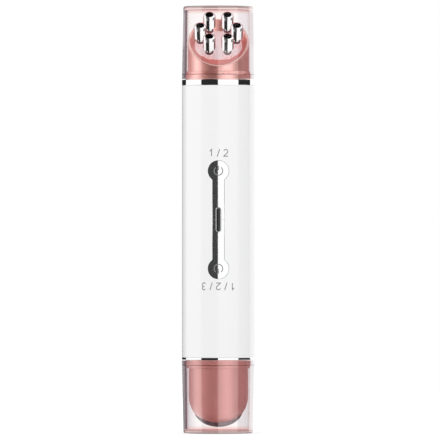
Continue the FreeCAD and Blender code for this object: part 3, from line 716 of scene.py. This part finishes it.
# %% Inner finishes
inner_table = {
    "inner_plastic": ((0.72, 0.72, 0.70), 0.45, 0.0, 0.05),
    "board_green": ((0.03, 0.20, 0.09), 0.35, 0.0, 0.15),
    "component_black": ((0.025, 0.025, 0.027), 0.50, 0.0, 0.15),
    "led_yellow": ((0.85, 0.70, 0.25), 0.30, 0.0, 0.05),
    "inner_steel": ((0.70, 0.70, 0.71), 0.25, 1.0, 0.05),
    "nut_brass": ((0.80, 0.62, 0.30), 0.28, 1.0, 0.08),
    "seal_rubber": ((0.05, 0.05, 0.052), 0.70, 0.0, 0.10),
    "film_amber": ((0.70, 0.36, 0.07), 0.25, 0.0, 0.08),
    "cell_wrap": ((0.10, 0.24, 0.50), 0.35, 0.0, 0.06),
    "lead_white": ((0.78, 0.78, 0.76), 0.40, 0.0, 0.05),
}
for name, (colour, roughness, metallic, drift) in inner_table.items():
    finishes[name] = finish(name, colour, roughness, metallic, drift=drift, drift_scale=400.0,
                            marks=0.06, marks_scale=400.0)
print(len(finishes), "finishes with the inner ones")

# %% [markdown]
# ## Finishes on the working parts
# Each working part comes with a slot named after its finish, so the finishes are laid on by name.
# No part shows in another's reflection, because polished metal looks best when it shows the room
# alone.

# %% Put the finishes on the nodes
for node in nodes.values():
    for slot in node.material_slots:
        slot.material = finishes[slot.material.name.split(".")[0]]
    node.visible_glossy = False
print("finishes laid on", len(nodes), "nodes")

# %% [markdown]
# ## A tree for turned parts
# Caps, rings, plate and electrodes all come off a lathe or out of a round mould. One Geometry
# Nodes tree turns them: it lays a grid out, takes each row's radius and height from the points
# of an outline, and wraps the columns round the Z axis. The outline is all that a part needs.

# %% Starting and ending a tree
def new_tree(name, inputs, result):
    """A tree with named inputs, of which Finish is the last; returns its ways in and out too."""
    tree = bpy.data.node_groups.new(name, "GeometryNodeTree")
    for label, (kind, value) in {**inputs, "Finish": ("Material", None)}.items():
        socket = tree.interface.new_socket(label, in_out="INPUT", socket_type="NodeSocket" + kind)
        if value is not None:
            socket.default_value = value
    tree.interface.new_socket(result, in_out="OUTPUT", socket_type="NodeSocketGeometry")
    given = tree.nodes.new("NodeGroupInput").outputs
    return tree, given, tree.nodes.new("NodeGroupOutput").inputs


def finish_tree(tree, geometry, given, out):
    """End a tree with real geometry and its material."""
    real = add_node(tree, "GeometryNodeRealizeInstances")
    painted = add_node(tree, "GeometryNodeSetMaterial")
    feed(tree, geometry, real.inputs[0])
    feed(tree, real.outputs[0], painted.inputs["Geometry"])
    feed(tree, given["Finish"], painted.inputs["Material"])
    feed(tree, painted.outputs[0], out[0])


# %% The turned tree
def build_turned_tree():
    """Wraps a grid round Z, each row at its outline point's radius and height."""
    inputs = {"Outline": ("Geometry", None), "Steps": ("Int", 128)}
    tree, given, out = new_tree("turned", inputs, "Part")
    size = add_node(tree, "GeometryNodeAttributeDomainSize")
    feed(tree, given["Outline"], size.inputs[0])
    rows = size.outputs["Point Count"]
    grid = add_node(tree, "GeometryNodeMeshGrid")
    feed(tree, math_node(tree, "ADD", given["Steps"], 1.0), grid.inputs["Vertices X"])
    feed(tree, rows, grid.inputs["Vertices Y"])
    index = add_node(tree, "GeometryNodeInputIndex").outputs[0]
    middle = math_node(tree, "ADD", index, 0.5)
    column = math_node(tree, "FLOOR", math_node(tree, "DIVIDE", middle, rows))
    row = math_node(tree, "SUBTRACT", index, math_node(tree, "MULTIPLY", column, rows))
    sample = add_node(tree, "GeometryNodeSampleIndex", data_type="FLOAT_VECTOR")
    feed(tree, given["Outline"], sample.inputs["Geometry"])
    feed(tree, add_node(tree, "GeometryNodeInputPosition").outputs[0], sample.inputs["Value"])
    feed(tree, row, sample.inputs["Index"])
    parts = add_node(tree, "ShaderNodeSeparateXYZ")
    feed(tree, sample.outputs["Value"], parts.inputs[0])
    share = math_node(tree, "DIVIDE", column, given["Steps"])
    angle = math_node(tree, "MULTIPLY", share, 2 * math.pi)
    place = add_node(tree, "ShaderNodeCombineXYZ")
    for axis, wave in enumerate(("COSINE", "SINE")):
        along = math_node(tree, "MULTIPLY", parts.outputs[0], math_node(tree, wave, angle))
        feed(tree, along, place.inputs[axis])
    feed(tree, parts.outputs[2], place.inputs[2])
    wrap = add_node(tree, "GeometryNodeSetPosition")
    feed(tree, grid.outputs["Mesh"], wrap.inputs["Geometry"])
    feed(tree, place.outputs[0], wrap.inputs["Position"])
    merge = add_node(tree, "GeometryNodeMergeByDistance", {"Distance": hair})
    feed(tree, wrap.outputs[0], merge.inputs["Geometry"])
    finish_tree(tree, merge.outputs[0], given, out)
    return tree


turned = build_turned_tree()
print("turned tree with", len(turned.nodes), "nodes")

# %% [markdown]
# A tree runs as a modifier on a holder. Each input is set by its socket's identifier before the
# holder is first evaluated, and the result is kept as a plain mesh, so the holder can go.

# %% Running a tree
def run_tree(tree, source, **inputs):
    """Run a Geometry Nodes tree on a mesh; returns the result as a plain mesh."""
    holder = bpy.data.objects.new("holder", source)
    scene.collection.objects.link(holder)
    modifier = holder.modifiers.new("tree", "NODES")
    modifier.node_group = tree
    for item in tree.interface.items_tree:
        if item.in_out == "INPUT" and item.name in inputs:
            modifier[item.identifier] = inputs[item.name]
    shown = holder.evaluated_get(bpy.context.evaluated_depsgraph_get())
    mesh = bpy.data.meshes.new_from_object(shown)
    holder.modifiers.remove(modifier)
    bpy.data.objects.remove(holder)
    return mesh


def outline_mesh(points):
    """An outline of (radius, height) points, in millimetres, as loose points in metres."""
    mesh = bpy.data.meshes.new("outline")
    mesh.from_pydata([(r * MM, 0.0, z * MM) for r, z in points], [], [])
    return mesh


# %% [markdown]
# ## From mesh to piece
# A piece needs smooth shading with its real edges kept, a body to ride on, the slot its finish
# belongs to, and the working part that it stands for. Like the working parts, no piece is seen in
# another's reflection.

# %% Outline and piece helpers
def bend(centre_r, centre_z, radius, start, end, steps=8):
    """Points round a corner of an outline, between two angles in degrees from +radius."""
    turns = [math.radians(start + (end - start) * i / steps) for i in range(steps + 1)]
    return [(centre_r + radius * math.cos(t), centre_z + radius * math.sin(t)) for t in turns]


def add_piece(name, mesh, body="wand", stands_for=(), sharp=35.0):
    """Make a mesh a piece, smooth but for edges of more than sharp degrees."""
    mesh.name = name
    mesh.shade_smooth()
    mesh.set_sharp_from_angle(angle=math.radians(sharp))
    piece = bpy.data.objects.new(name, mesh)
    scene.collection.objects.link(piece)
    piece.visible_glossy = False
    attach(piece, body)
    if stands_for:
        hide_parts(*stands_for)
    return piece


def hold_straights(points, margin=0.06):
    """Extra points close to the ends of each long straight, so its shading stays even."""
    held = points[:1]
    for (r0, z0), (r1, z1) in zip(points, points[1:]):
        length = math.hypot(r1 - r0, z1 - z0)
        if length > 12 * margin:
            share = margin / length
            held += [(r0 + (r1 - r0) * t, z0 + (z1 - z0) * t) for t in (share, 1 - share)]
        held.append((r1, z1))
    return held


def turned_mesh(points, finish_name, steps=128):
    outline = outline_mesh(hold_straights(points))
    return run_tree(turned, outline, Steps=steps, Finish=finishes[finish_name])


# %% [markdown]
# ## Clear caps
# A cap is one moulding: a wall that tapers a little to the closed end, a rounded end corner, and
# a counterbore at the mouth that seats on the head's collar. It is all refraction, so it needs
# many steps round, true corners and a real inner wall. The lower cap is the upper one turned over.

# %% Caps
cap_end_radius = 13.45
cap_end_wall = 1.3
cap_bore = 12.28
cap_bore_end = 12.13
cap_seat_radius = 12.68
cap_corner = 0.7
cap_inner_corner = 0.4
cap_mouth_corner = 0.08


def cap_outline():
    """From the bore's closed end down the bore, round the mouth and up the outside."""
    inner_end = cap_length - cap_end_wall
    outer = body_radius / MM
    points = [(0.0, inner_end)]
    points += bend(cap_bore_end - cap_inner_corner, inner_end - cap_inner_corner,
                   cap_inner_corner, 90, 0)
    points += [(cap_bore, cap_counterbore), (cap_seat_radius, cap_counterbore), (cap_seat_radius, 0.0)]
    points += bend(outer - cap_mouth_corner, cap_mouth_corner, cap_mouth_corner, -90, 0, 4)
    points += bend(cap_end_radius - cap_corner, cap_length - cap_corner, cap_corner, 0, 90, 12)
    return points + [(0.0, cap_length)]


def place_cap(name, body, node, flip):
    mesh = turned_mesh(cap_outline(), "cap_clear", steps=192)
    if flip:
        mesh.transform(Matrix.Translation((0, 0, high(node).z)) @ Matrix.Rotation(math.pi, 4, "X"))
    else:
        mesh.transform(Matrix.Translation((0, 0, low(node).z)))
    return add_piece(name, mesh, body, [node])


place_cap("upper_clear_cap", "upper_cap", "upper_cap", flip=False)
place_cap("lower_clear_cap", "lower_cap", "lower_cap", flip=True)
print(f"caps placed, {cap_length:.0f} mm long with a wall of {body_radius / MM - cap_bore:.2f} mm")

# %% [markdown]
# ## Chrome trim rings
# The two rings are plain bands whose edges are broken with a tiny radius. That radius is what
# makes a thin line of light above and below the band. A bevelled cylinder would do as well, but
# the turned tree takes the band and its corners in one outline.

# %% Trim rings
ring_corner = 0.12
ring_bore = 12.7


def ring_outline(bottom, top):
    outer = body_radius / MM
    points = [(ring_bore, top), (ring_bore, bottom)]
    points += bend(outer - ring_corner, bottom + ring_corner, ring_corner, -90, 0, 5)
    points += bend(outer - ring_corner, top - ring_corner, ring_corner, 0, 90, 5)
    return points + points[:1]


for node in ("upper_trim_ring", "lower_trim_ring"):
    mesh = turned_mesh(ring_outline(low(node).z / MM, high(node).z / MM), "trim_chrome", steps=160)
    add_piece(node.replace("trim", "chrome"), mesh, stands_for=[node])
print(f"rings placed, each edge broken by {ring_corner} mm")

# %% [markdown]
# ## Bullet electrodes
# Each electrode is a turned bullet on a neck, and six of them stand in a ring. The bullet is
# turned once, and a second tree sets a copy on each corner of a circle, so the count and the
# radius stay numbers. The ring's place and radius are read from the working electrodes' end
# faces, and its tilt is the face's given 45 degrees.

# %% Where the bullets stand
face_tilt = math.radians(45.0)
face_out = Vector((0, -math.sin(face_tilt), math.cos(face_tilt)))


def farthest(mesh, direction):
    """How far a mesh goes this way."""
    return max(vertex.co.dot(direction) for vertex in mesh.vertices)


def face_spots(mesh, direction, within=hair):
    """The points of a mesh's flat face that looks this way."""
    reach = farthest(mesh, direction)
    return [vertex.co for vertex in mesh.vertices if reach - vertex.co.dot(direction) < within]


def end_centre(node, direction):
    """The middle of a node's flat end face that looks this way."""
    rim = face_spots(nodes[node].data, direction)
    lowest = [min(spot[axis] for spot in rim) for axis in range(3)]
    highest = [max(spot[axis] for spot in rim) for axis in range(3)]
    return (Vector(lowest) + Vector(highest)) / 2


electrodes = [f"electrode_{number}" for number in range(1, 7)]
tops = [end_centre(node, face_out) for node in electrodes]
ring_centre = sum(tops, Vector()) / len(tops)
ring_radius = (tops[0] - ring_centre).length
lens_top = farthest(nodes["light_lens"].data, face_out)
standing = (ring_centre.dot(face_out) - lens_top) / MM
foot_centre = ring_centre - face_out * standing * MM
print(f"{len(tops)} bullets on a circle of {ring_radius / MM:.2f} mm, {standing:.2f} mm above the lens")


# %% A tree for rings of parts
def build_ring_tree():
    """Sets a copy of one part on each corner of a circle."""
    inputs = {"One part": ("Geometry", None), "Count": ("Int", 6), "Radius": ("Float", 0.007)}
    tree, given, out = new_tree("ring_of_parts", inputs, "Ring")
    circle = add_node(tree, "GeometryNodeMeshCircle")
    feed(tree, given["Count"], circle.inputs["Vertices"])
    feed(tree, given["Radius"], circle.inputs["Radius"])
    copies = add_node(tree, "GeometryNodeInstanceOnPoints")
    feed(tree, circle.outputs[0], copies.inputs["Points"])
    feed(tree, given["One part"], copies.inputs["Instance"])
    finish_tree(tree, copies.outputs[0], given, out)
    return tree


ring_of_parts = build_ring_tree()
print("ring tree with", len(ring_of_parts.nodes), "nodes")


def ring_on_lens(part, finish_name):
    """Copies of a part on the electrodes' circle, stood on the lens."""
    ring = run_tree(ring_of_parts, part, Count=len(electrodes), Radius=ring_radius,
                    Finish=finishes[finish_name])
    ring.transform(Matrix.Translation(foot_centre) @ Matrix.Rotation(face_tilt, 4, "X"))
    return ring


# %% Electrodes
bullet_length = 6.2
bullet_top_corner = 1.3
bullet_foot_corner = 0.4
bullet_radius = (high("electrode_1").x - low("electrode_1").x) / 2 / MM
neck_radius = 1.1


def bullet_outline():
    """From the neck's foot on the lens, at height 0, up to the flat of the tip."""
    foot = standing - bullet_length
    points = [(0.0, 0.0), (neck_radius, 0.0), (neck_radius, foot)]
    points += bend(bullet_radius - bullet_foot_corner, foot + bullet_foot_corner,
                   bullet_foot_corner, -90, 0)
    points += bend(bullet_radius - bullet_top_corner, standing - bullet_top_corner,
                   bullet_top_corner, 0, 90, 12)
    return points + [(0.0, standing)]


bullet = turned_mesh(bullet_outline(), "electrode_chrome", steps=72)
add_piece("bullet_electrodes", ring_on_lens(bullet, "electrode_chrome"),
          stands_for=electrodes)
print(f"bullets {bullet_length} mm long and {2 * bullet_radius:.1f} mm across")

# %% [markdown]
# ## Bosses and seats under the electrodes
# The lens rises in a low boss round each neck, and a washer sits on the boss. The washer's very
# dark rose is partly its own colour and partly painted shade, for the shadow at each neck under
# its bullet. Boss and washer could be cut into the lens, but both are collars on the neck, so one
# outline serves them, and the ring tree sets them out as before.

# %% Bosses and seats
boss_radius = 1.9
boss_height = 1.9
boss_sink = 0.2
boss_corner = 0.5
seat_radius = 1.5
seat_height = 0.9
seat_corner = 0.2
collar_bite = 0.05


def collar_ring(name, finish_name, radius, bottom, top, corner):
    """A ring of collars round the necks, between two heights above the lens."""
    bore = neck_radius - collar_bite
    points = [(bore, bottom), (radius, bottom)]
    points += bend(radius - corner, top - corner, corner, 0, 90, 5) + [(bore, top)]
    collar = turned_mesh(points + points[:1], finish_name, steps=48)
    return add_piece(name, ring_on_lens(collar, finish_name))


collar_ring("lens_bosses", "lens_frost", boss_radius, -boss_sink, boss_height, boss_corner)
# The washers' very dark rose is partly painted shade under the bullets.
collar_ring("neck_seats_and_shade", "seat_rose", seat_radius, boss_height,
            boss_height + seat_height, seat_corner)
print(f"bosses {boss_height:.1f} mm high")

# %% [markdown]
# ## Head shells
# The shells keep the working parts' shape, but a working mesh is loose triangles, and a plated
# surface shows every uneven normal. So each shell is a copy with its points merged, its edges
# kept sharp, and its normals weighted by face size, which holds the broad faces perfectly even.

# %% Head shells
shell_edge_angle = 28.0


def even_copy(node, name, finish_name):
    """A copy of a working part with merged points and normals weighted by face size."""
    mesh = nodes[node].data.copy()
    work = bmesh.new()
    work.from_mesh(mesh)
    bmesh.ops.remove_doubles(work, verts=work.verts, dist=hair)
    work.to_mesh(mesh)
    work.free()
    mesh.materials.clear()
    mesh.materials.append(finishes[finish_name])
    piece = add_piece(name, mesh, stands_for=[node], sharp=shell_edge_angle)
    evened = piece.modifiers.new("even_normals", "WEIGHTED_NORMAL")
    evened.keep_sharp = True
    evened.weight = 100
    return piece


upper_shell = even_copy("upper_head_shell", "upper_gold_shell", "bright_gold")
even_copy("lower_head_shell", "lower_gold_shell", "rose_gold")
print("shells evened, the upper one with", len(upper_shell.data.vertices), "points")

# %% [markdown]
# ## The face's rolled edge
# Where the slanted face meets the head's side, the metal turns over in a fine bead. Its bright
# matt pink is a painted highlight: it draws the line of light that the rim catches all round. A
# bevel on the shell would be thin in one place and wide in another, so a tree sweeps a small
# circle along the edge. Its line is the farthest edge of the flat face in each direction.

# %% A tree for wires
def build_wire_tree():
    """Sweeps a small circle along a line."""
    inputs = {"Line": ("Geometry", None), "Radius": ("Float", 0.0002)}
    tree, given, out = new_tree("wire_along_line", inputs, "Wire")
    curve = add_node(tree, "GeometryNodeMeshToCurve")
    feed(tree, given["Line"], curve.inputs[0])
    section = add_node(tree, "GeometryNodeCurvePrimitiveCircle", {"Resolution": 12})
    feed(tree, given["Radius"], section.inputs["Radius"])
    swept = add_node(tree, "GeometryNodeCurveToMesh")
    feed(tree, curve.outputs[0], swept.inputs["Curve"])
    feed(tree, section.outputs[0], swept.inputs["Profile Curve"])
    finish_tree(tree, swept.outputs[0], given, out)
    return tree


wire_along_line = build_wire_tree()
print("wire tree with", len(wire_along_line.nodes), "nodes")


# %% The edge of the slanted face
def closed_line(points):
    """A closed loop of edges through these points."""
    mesh = bpy.data.meshes.new("line")
    edges = [(i, (i + 1) % len(points)) for i in range(len(points))]
    mesh.from_pydata(points, edges, [])
    return mesh


def face_edge(piece, direction, steps):
    """Points round the outer edge of a piece's flat face that looks this way."""
    flat = face_spots(piece.data, direction, within=10 * hair)
    middle = sum(flat, Vector()) / len(flat)
    up = direction.cross(Vector((1, 0, 0))).normalized()
    corners = {}
    for spot in flat:
        away = spot - middle
        turn = round(math.atan2(away.dot(up), away.x) / (2 * math.pi) * steps) % steps
        if turn not in corners or away.length > (corners[turn] - middle).length:
            corners[turn] = spot
    return [corners[turn] for turn in sorted(corners)]


# %% Rolled edge
bead_radius = 0.2
bead_steps = 96
edge_points = face_edge(upper_shell, face_out, bead_steps)
edge_middle = sum(edge_points, Vector()) / len(edge_points)
bead_line = [spot + (edge_middle - spot).normalized() * bead_radius * MM for spot in edge_points]
# The bead's bright pink finish is a painted highlight along the rim.
bead = run_tree(wire_along_line, closed_line(bead_line), Radius=bead_radius * MM,
                Finish=finishes["polished_rose"])
add_piece("rolled_edge_highlight", bead)
print("bead swept along", len(edge_points), "points")

# %% [markdown]
# ## Heated plate
# The plate is pressed from polished steel: a shallow dome, a rounded edge and a straight skirt
# that drops into the head. It is turned like the caps, because a polished dome shows the least
# flat spot. Its axis leans down and back, and its height and width are read from the working
# plate, so the turned one takes its place exactly.

# %% Heated plate
plate_out = Vector((0, math.sin(face_tilt), -math.cos(face_tilt)))
plate_up = Vector((0, math.cos(face_tilt), math.sin(face_tilt)))
plate_dome = 0.4
plate_edge = 1.3
dome_steps = 8
plate_spots = [vertex.co / MM for vertex in nodes["heat_plate"].data.vertices]
plate_top = max(spot.dot(plate_out) for spot in plate_spots)
plate_foot = min(spot.dot(plate_out) for spot in plate_spots)
plate_radius = max(spot.x for spot in plate_spots)
plate_middle = (max(spot.dot(plate_up) for spot in plate_spots)
                + min(spot.dot(plate_up) for spot in plate_spots)) / 2


def plate_outline():
    """From the skirt's foot up the side, round the edge and over the dome."""
    depth = plate_top - plate_foot
    flat_radius = plate_radius - plate_edge
    shoulder = depth - plate_dome
    lean = math.degrees(math.atan2(2 * plate_dome, flat_radius))
    points = [(0.0, 0.0), (plate_radius, 0.0)]
    points += bend(flat_radius, shoulder - plate_edge, plate_edge, 0, 90 - lean, 10)
    edge_r, edge_z = points[-1]
    for step in range(1, dome_steps + 1):
        share = 1 - step / dome_steps
        points.append((edge_r * share, depth - (depth - edge_z) * share ** 2))
    return points


plate = turned_mesh(plate_outline(), "plate_steel", steps=160)
seat_centre = (plate_out * plate_foot + plate_up * plate_middle) * MM
plate.transform(Matrix.Translation(seat_centre) @ Matrix.Rotation(math.pi + face_tilt, 4, "X"))
add_piece("polished_plate", plate, stands_for=["heat_plate"])
print(f"plate of radius {plate_radius:.2f} mm, {plate_top - plate_foot:.2f} mm deep")

# %% [markdown]
# ## Marks on the tube and keys
# The key symbols and the numbers are lines of one width that lie on the tube's curve. A picture
# laid on the tube would blur from near by, so one function draws them as thin closed slabs: it
# offsets a path to both sides, gives it a top and a bottom, and bends the result round the axis.

# %% Paths on a curved face
def wrapped(across, height, radius):
    """A point on the front of a cylinder; across and height in millimetres from the panel centre."""
    turn = across / radius
    return (radius * math.sin(turn) * MM, -radius * math.cos(turn) * MM, panel_z + height * MM)


def side_step(path, index, half_width):
    """The offset that widens a path at one of its points, with a mitre at corners."""
    before = path[max(index - 1, 0)]
    after = path[min(index + 1, len(path) - 1)]
    here = path[index]
    into = Vector((here[0] - before[0], here[1] - before[1]))
    away = Vector((after[0] - here[0], after[1] - here[1]))
    into = (into if into.length else away).normalized()
    away = (away if away.length else into).normalized()
    along = (into + away).normalized()
    mitre = half_width / max(along.dot(into), 0.5)
    return Vector((-along.y, along.x)) * mitre


def divided(path, longest=0.2):
    """The path with points added, so that no stretch is longer than this."""
    fine = path[:1]
    for (x0, z0), (x1, z1) in zip(path, path[1:]):
        count = max(1, math.ceil(math.hypot(x1 - x0, z1 - z0) / longest))
        shares = [i / count for i in range(1, count + 1)]
        fine += [(x0 + (x1 - x0) * share, z0 + (z1 - z0) * share) for share in shares]
    return fine


# %% Slabs along the paths
line_sink = 0.02


def draw_lines(name, paths, width, face_radius, rise, finish_name, body):
    """Thin closed slabs along the paths, from just under a cylinder's face to rise above it."""
    work = bmesh.new()
    for path in map(divided, paths):
        rows = []
        for index, (across, height) in enumerate(path):
            step = side_step(path, index, width / 2)
            edges = ((across + step.x, height + step.y), (across - step.x, height - step.y))
            top, foot = face_radius + rise, face_radius - line_sink
            corners = [(*edges[0], top), (*edges[1], top), (*edges[1], foot), (*edges[0], foot)]
            rows.append([work.verts.new(wrapped(*corner)) for corner in corners])
        for first, second in zip(rows, rows[1:]):
            for side in range(4):
                after = (side + 1) % 4
                work.faces.new((first[side], first[after], second[after], second[side]))
        work.faces.new(rows[0])
        work.faces.new(rows[-1][::-1])
    bmesh.ops.recalc_face_normals(work, faces=work.faces)
    mesh = bpy.data.meshes.new(name)
    work.to_mesh(mesh)
    work.free()
    mesh.materials.append(finishes[finish_name])
    return add_piece(name, mesh, body)


# %% [markdown]
# ## The keys' power symbols
# Each key end has the common power symbol laid on it, so it rides with its key. The ends' width
# and the keys' outer heights give the distance between the two symbols.

# %% Key symbols
key_end_width = high("upper_key").x - low("upper_key").x
key_spacing = (high("upper_key").z - low("lower_key").z - key_end_width) / MM
symbol_radius = 1.65
symbol_line = 0.36
symbol_rise = 0.012
symbol_gap = 38
symbol_bar = (0.15, 0.5, 0.8, 1.15)
key_face_radius = -low("upper_key").y / MM


def power_symbol(centre, upwards):
    """A ring open at one side with a bar in the opening."""
    ring = bend(0.0, centre, symbol_radius, 90 + symbol_gap, 450 - symbol_gap, 36)
    bar = [(0.0, centre + symbol_radius * share) for share in symbol_bar]
    return [[(x, centre + upwards * (z - centre)) for x, z in path] for path in (ring, bar)]


for body, side in (("upper_key", 1), ("lower_key", -1)):
    draw_lines(f"{body}_symbol", power_symbol(side * key_spacing / 2, side), symbol_line,
               key_face_radius, symbol_rise, "printed_grey", body)
print(f"key symbols {key_spacing:.1f} mm apart, on radius {key_face_radius:.2f} mm")

# %% [markdown]
# ## Numbers beside the keys
# The modes are numbered above and below the keys, and the lower row is turned over, to be read
# when the wand is held by its other end. Strokes of one width suit a pad print this small, and
# drawing them needs no font.

# %% Numbers beside the keys
digit_height = 2.6
digit_line = 0.34
digit_pitch = 2.85
digit_rise = 0.006
upper_label_height = 107.6
lower_label_height = 56.5


def digit_paths(mark):
    """The strokes of a mark, one unit high."""
    if mark == "1":
        return [[(-0.2, 0.72), (0.08, 1.0), (0.08, 0.5), (0.08, 0.0)]]
    if mark == "2":
        return [bend(0.0, 0.70, 0.30, 165, -35, 12) + [(-0.32, 0.0), (0.0, 0.0), (0.34, 0.0)]]
    if mark == "3":
        return [bend(0.0, 0.75, 0.25, 150, -85, 12) + bend(0.0, 0.26, 0.28, 85, -150, 14)]
    return [[(-0.18, -0.05), (0.0, 0.5), (0.18, 1.05)]]


def number_line(marks, middle, turned_over):
    """The strokes of a row of marks; turned_over sets it to be read from the other end."""
    paths = []
    for place, mark in enumerate(marks):
        start = (place - (len(marks) - 1) / 2) * digit_pitch
        for path in digit_paths(mark):
            spots = [(start + x * digit_height, (z - 0.5) * digit_height) for x, z in path]
            sign = -1 if turned_over else 1
            paths.append([(sign * x, middle + sign * z) for x, z in spots])
    return paths


for name, marks, height, turned_over in (("upper_numbers", "1/2", upper_label_height, False),
                                         ("lower_numbers", "1/2/3", lower_label_height, True)):
    middle = height - panel_z / MM
    draw_lines(name, number_line(marks, middle, turned_over), digit_line, body_radius / MM,
               digit_rise, "printed_grey", "wand")
    print(f"{name} at {middle:.1f} mm from the panel centre")

# %% [markdown]
# ## The window's bezel
# A fine wire, sunk a little, frames the smoked window. Being round, it always turns some part of
# itself to a card, so it draws a thin bright line on the dark side too, as a flat frame wouldn't.
# The wire tree sweeps it along the window's pill-shaped outline, laid on the window's own curve.

# %% Window bezel
window_width = (high("indicator_window").x - low("indicator_window").x) / MM
window_length = (high("indicator_window").z - low("indicator_window").z) / MM
bezel_radius = 0.13
bezel_sink = 0.05


def window_path():
    """The pill-shaped outline of the window, in the middle of the wire."""
    radius = window_width / 2 - bezel_radius
    rise = (window_length - window_width) / 2
    return bend(0.0, rise, radius, 0, 180, 16) + bend(0.0, -rise, radius, 180, 360, 16)


bezel_face = -low("indicator_window").y / MM
bezel_points = [wrapped(across, height, bezel_face - bezel_sink) for across, height in window_path()]
bezel = run_tree(wire_along_line, closed_line(bezel_points), Radius=bezel_radius * MM,
                 Finish=finishes["trim_chrome"])
add_piece("window_bezel", bezel)
print(f"window {window_width:.2f} x {window_length:.2f} mm, its face on radius {bezel_face:.2f} mm")

# %% [markdown]
# ## The charging inlet's contacts
# The inlet's tongue carries two rows of gilt contact strips. They are too small to be worth
# placing by hand, so a tree sets one strip out along a line, with the count and the pitch as its
# numbers.

# %% A tree for rows of strips
def build_row_tree():
    """Sets strips out along X, centred on the middle of the row."""
    inputs = {"Strip": ("Geometry", None), "Count": ("Int", 12), "Pitch": ("Float", 0.0005)}
    tree, given, out = new_tree("row_of_strips", inputs, "Row")
    row = add_node(tree, "GeometryNodeMeshLine")
    offset = add_node(tree, "ShaderNodeCombineXYZ")
    start = add_node(tree, "ShaderNodeCombineXYZ")
    half = math_node(tree, "MULTIPLY", math_node(tree, "SUBTRACT", given["Count"], 1.0), -0.5)
    feed(tree, given["Pitch"], offset.inputs[0])
    feed(tree, math_node(tree, "MULTIPLY", half, given["Pitch"]), start.inputs[0])
    feed(tree, given["Count"], row.inputs["Count"])
    feed(tree, start.outputs[0], row.inputs["Start Location"])
    feed(tree, offset.outputs[0], row.inputs["Offset"])
    copies = add_node(tree, "GeometryNodeInstanceOnPoints")
    feed(tree, row.outputs[0], copies.inputs["Points"])
    feed(tree, given["Strip"], copies.inputs["Instance"])
    finish_tree(tree, copies.outputs[0], given, out)
    return tree


row_of_strips = build_row_tree()
print("row tree with", len(row_of_strips.nodes), "nodes")

# %% Inlet contacts
contact_count = 12
contact_pitch = 0.5
contact_size = (0.26, 3.2, 0.05)
contact_bevel = 0.015
tongue_half_height = 0.35
tongue_setback = 0.6


def contact_strip():
    mesh = bpy.data.meshes.new("strip")
    work = bmesh.new()
    bmesh.ops.create_cube(work, size=1.0)
    bmesh.ops.scale(work, vec=[size * MM for size in contact_size], verts=work.verts)
    bmesh.ops.bevel(work, geom=work.edges, offset=contact_bevel * MM, segments=1, affect="EDGES")
    work.to_mesh(mesh)
    work.free()
    return mesh


inlet_z = (low("usb_socket").z + high("usb_socket").z) / 2
contact_y = high("usb_socket").y - (tongue_setback + contact_size[1] / 2) * MM
for name, side in (("upper_contacts", 1), ("lower_contacts", -1)):
    row = run_tree(row_of_strips, contact_strip(), Count=contact_count, Pitch=contact_pitch * MM,
                   Finish=finishes["nut_brass"])
    row.transform(Matrix.Translation((0, contact_y, inlet_z + side * tongue_half_height * MM)))
    add_piece(name, row)
print(2 * contact_count, "contacts in the inlet")
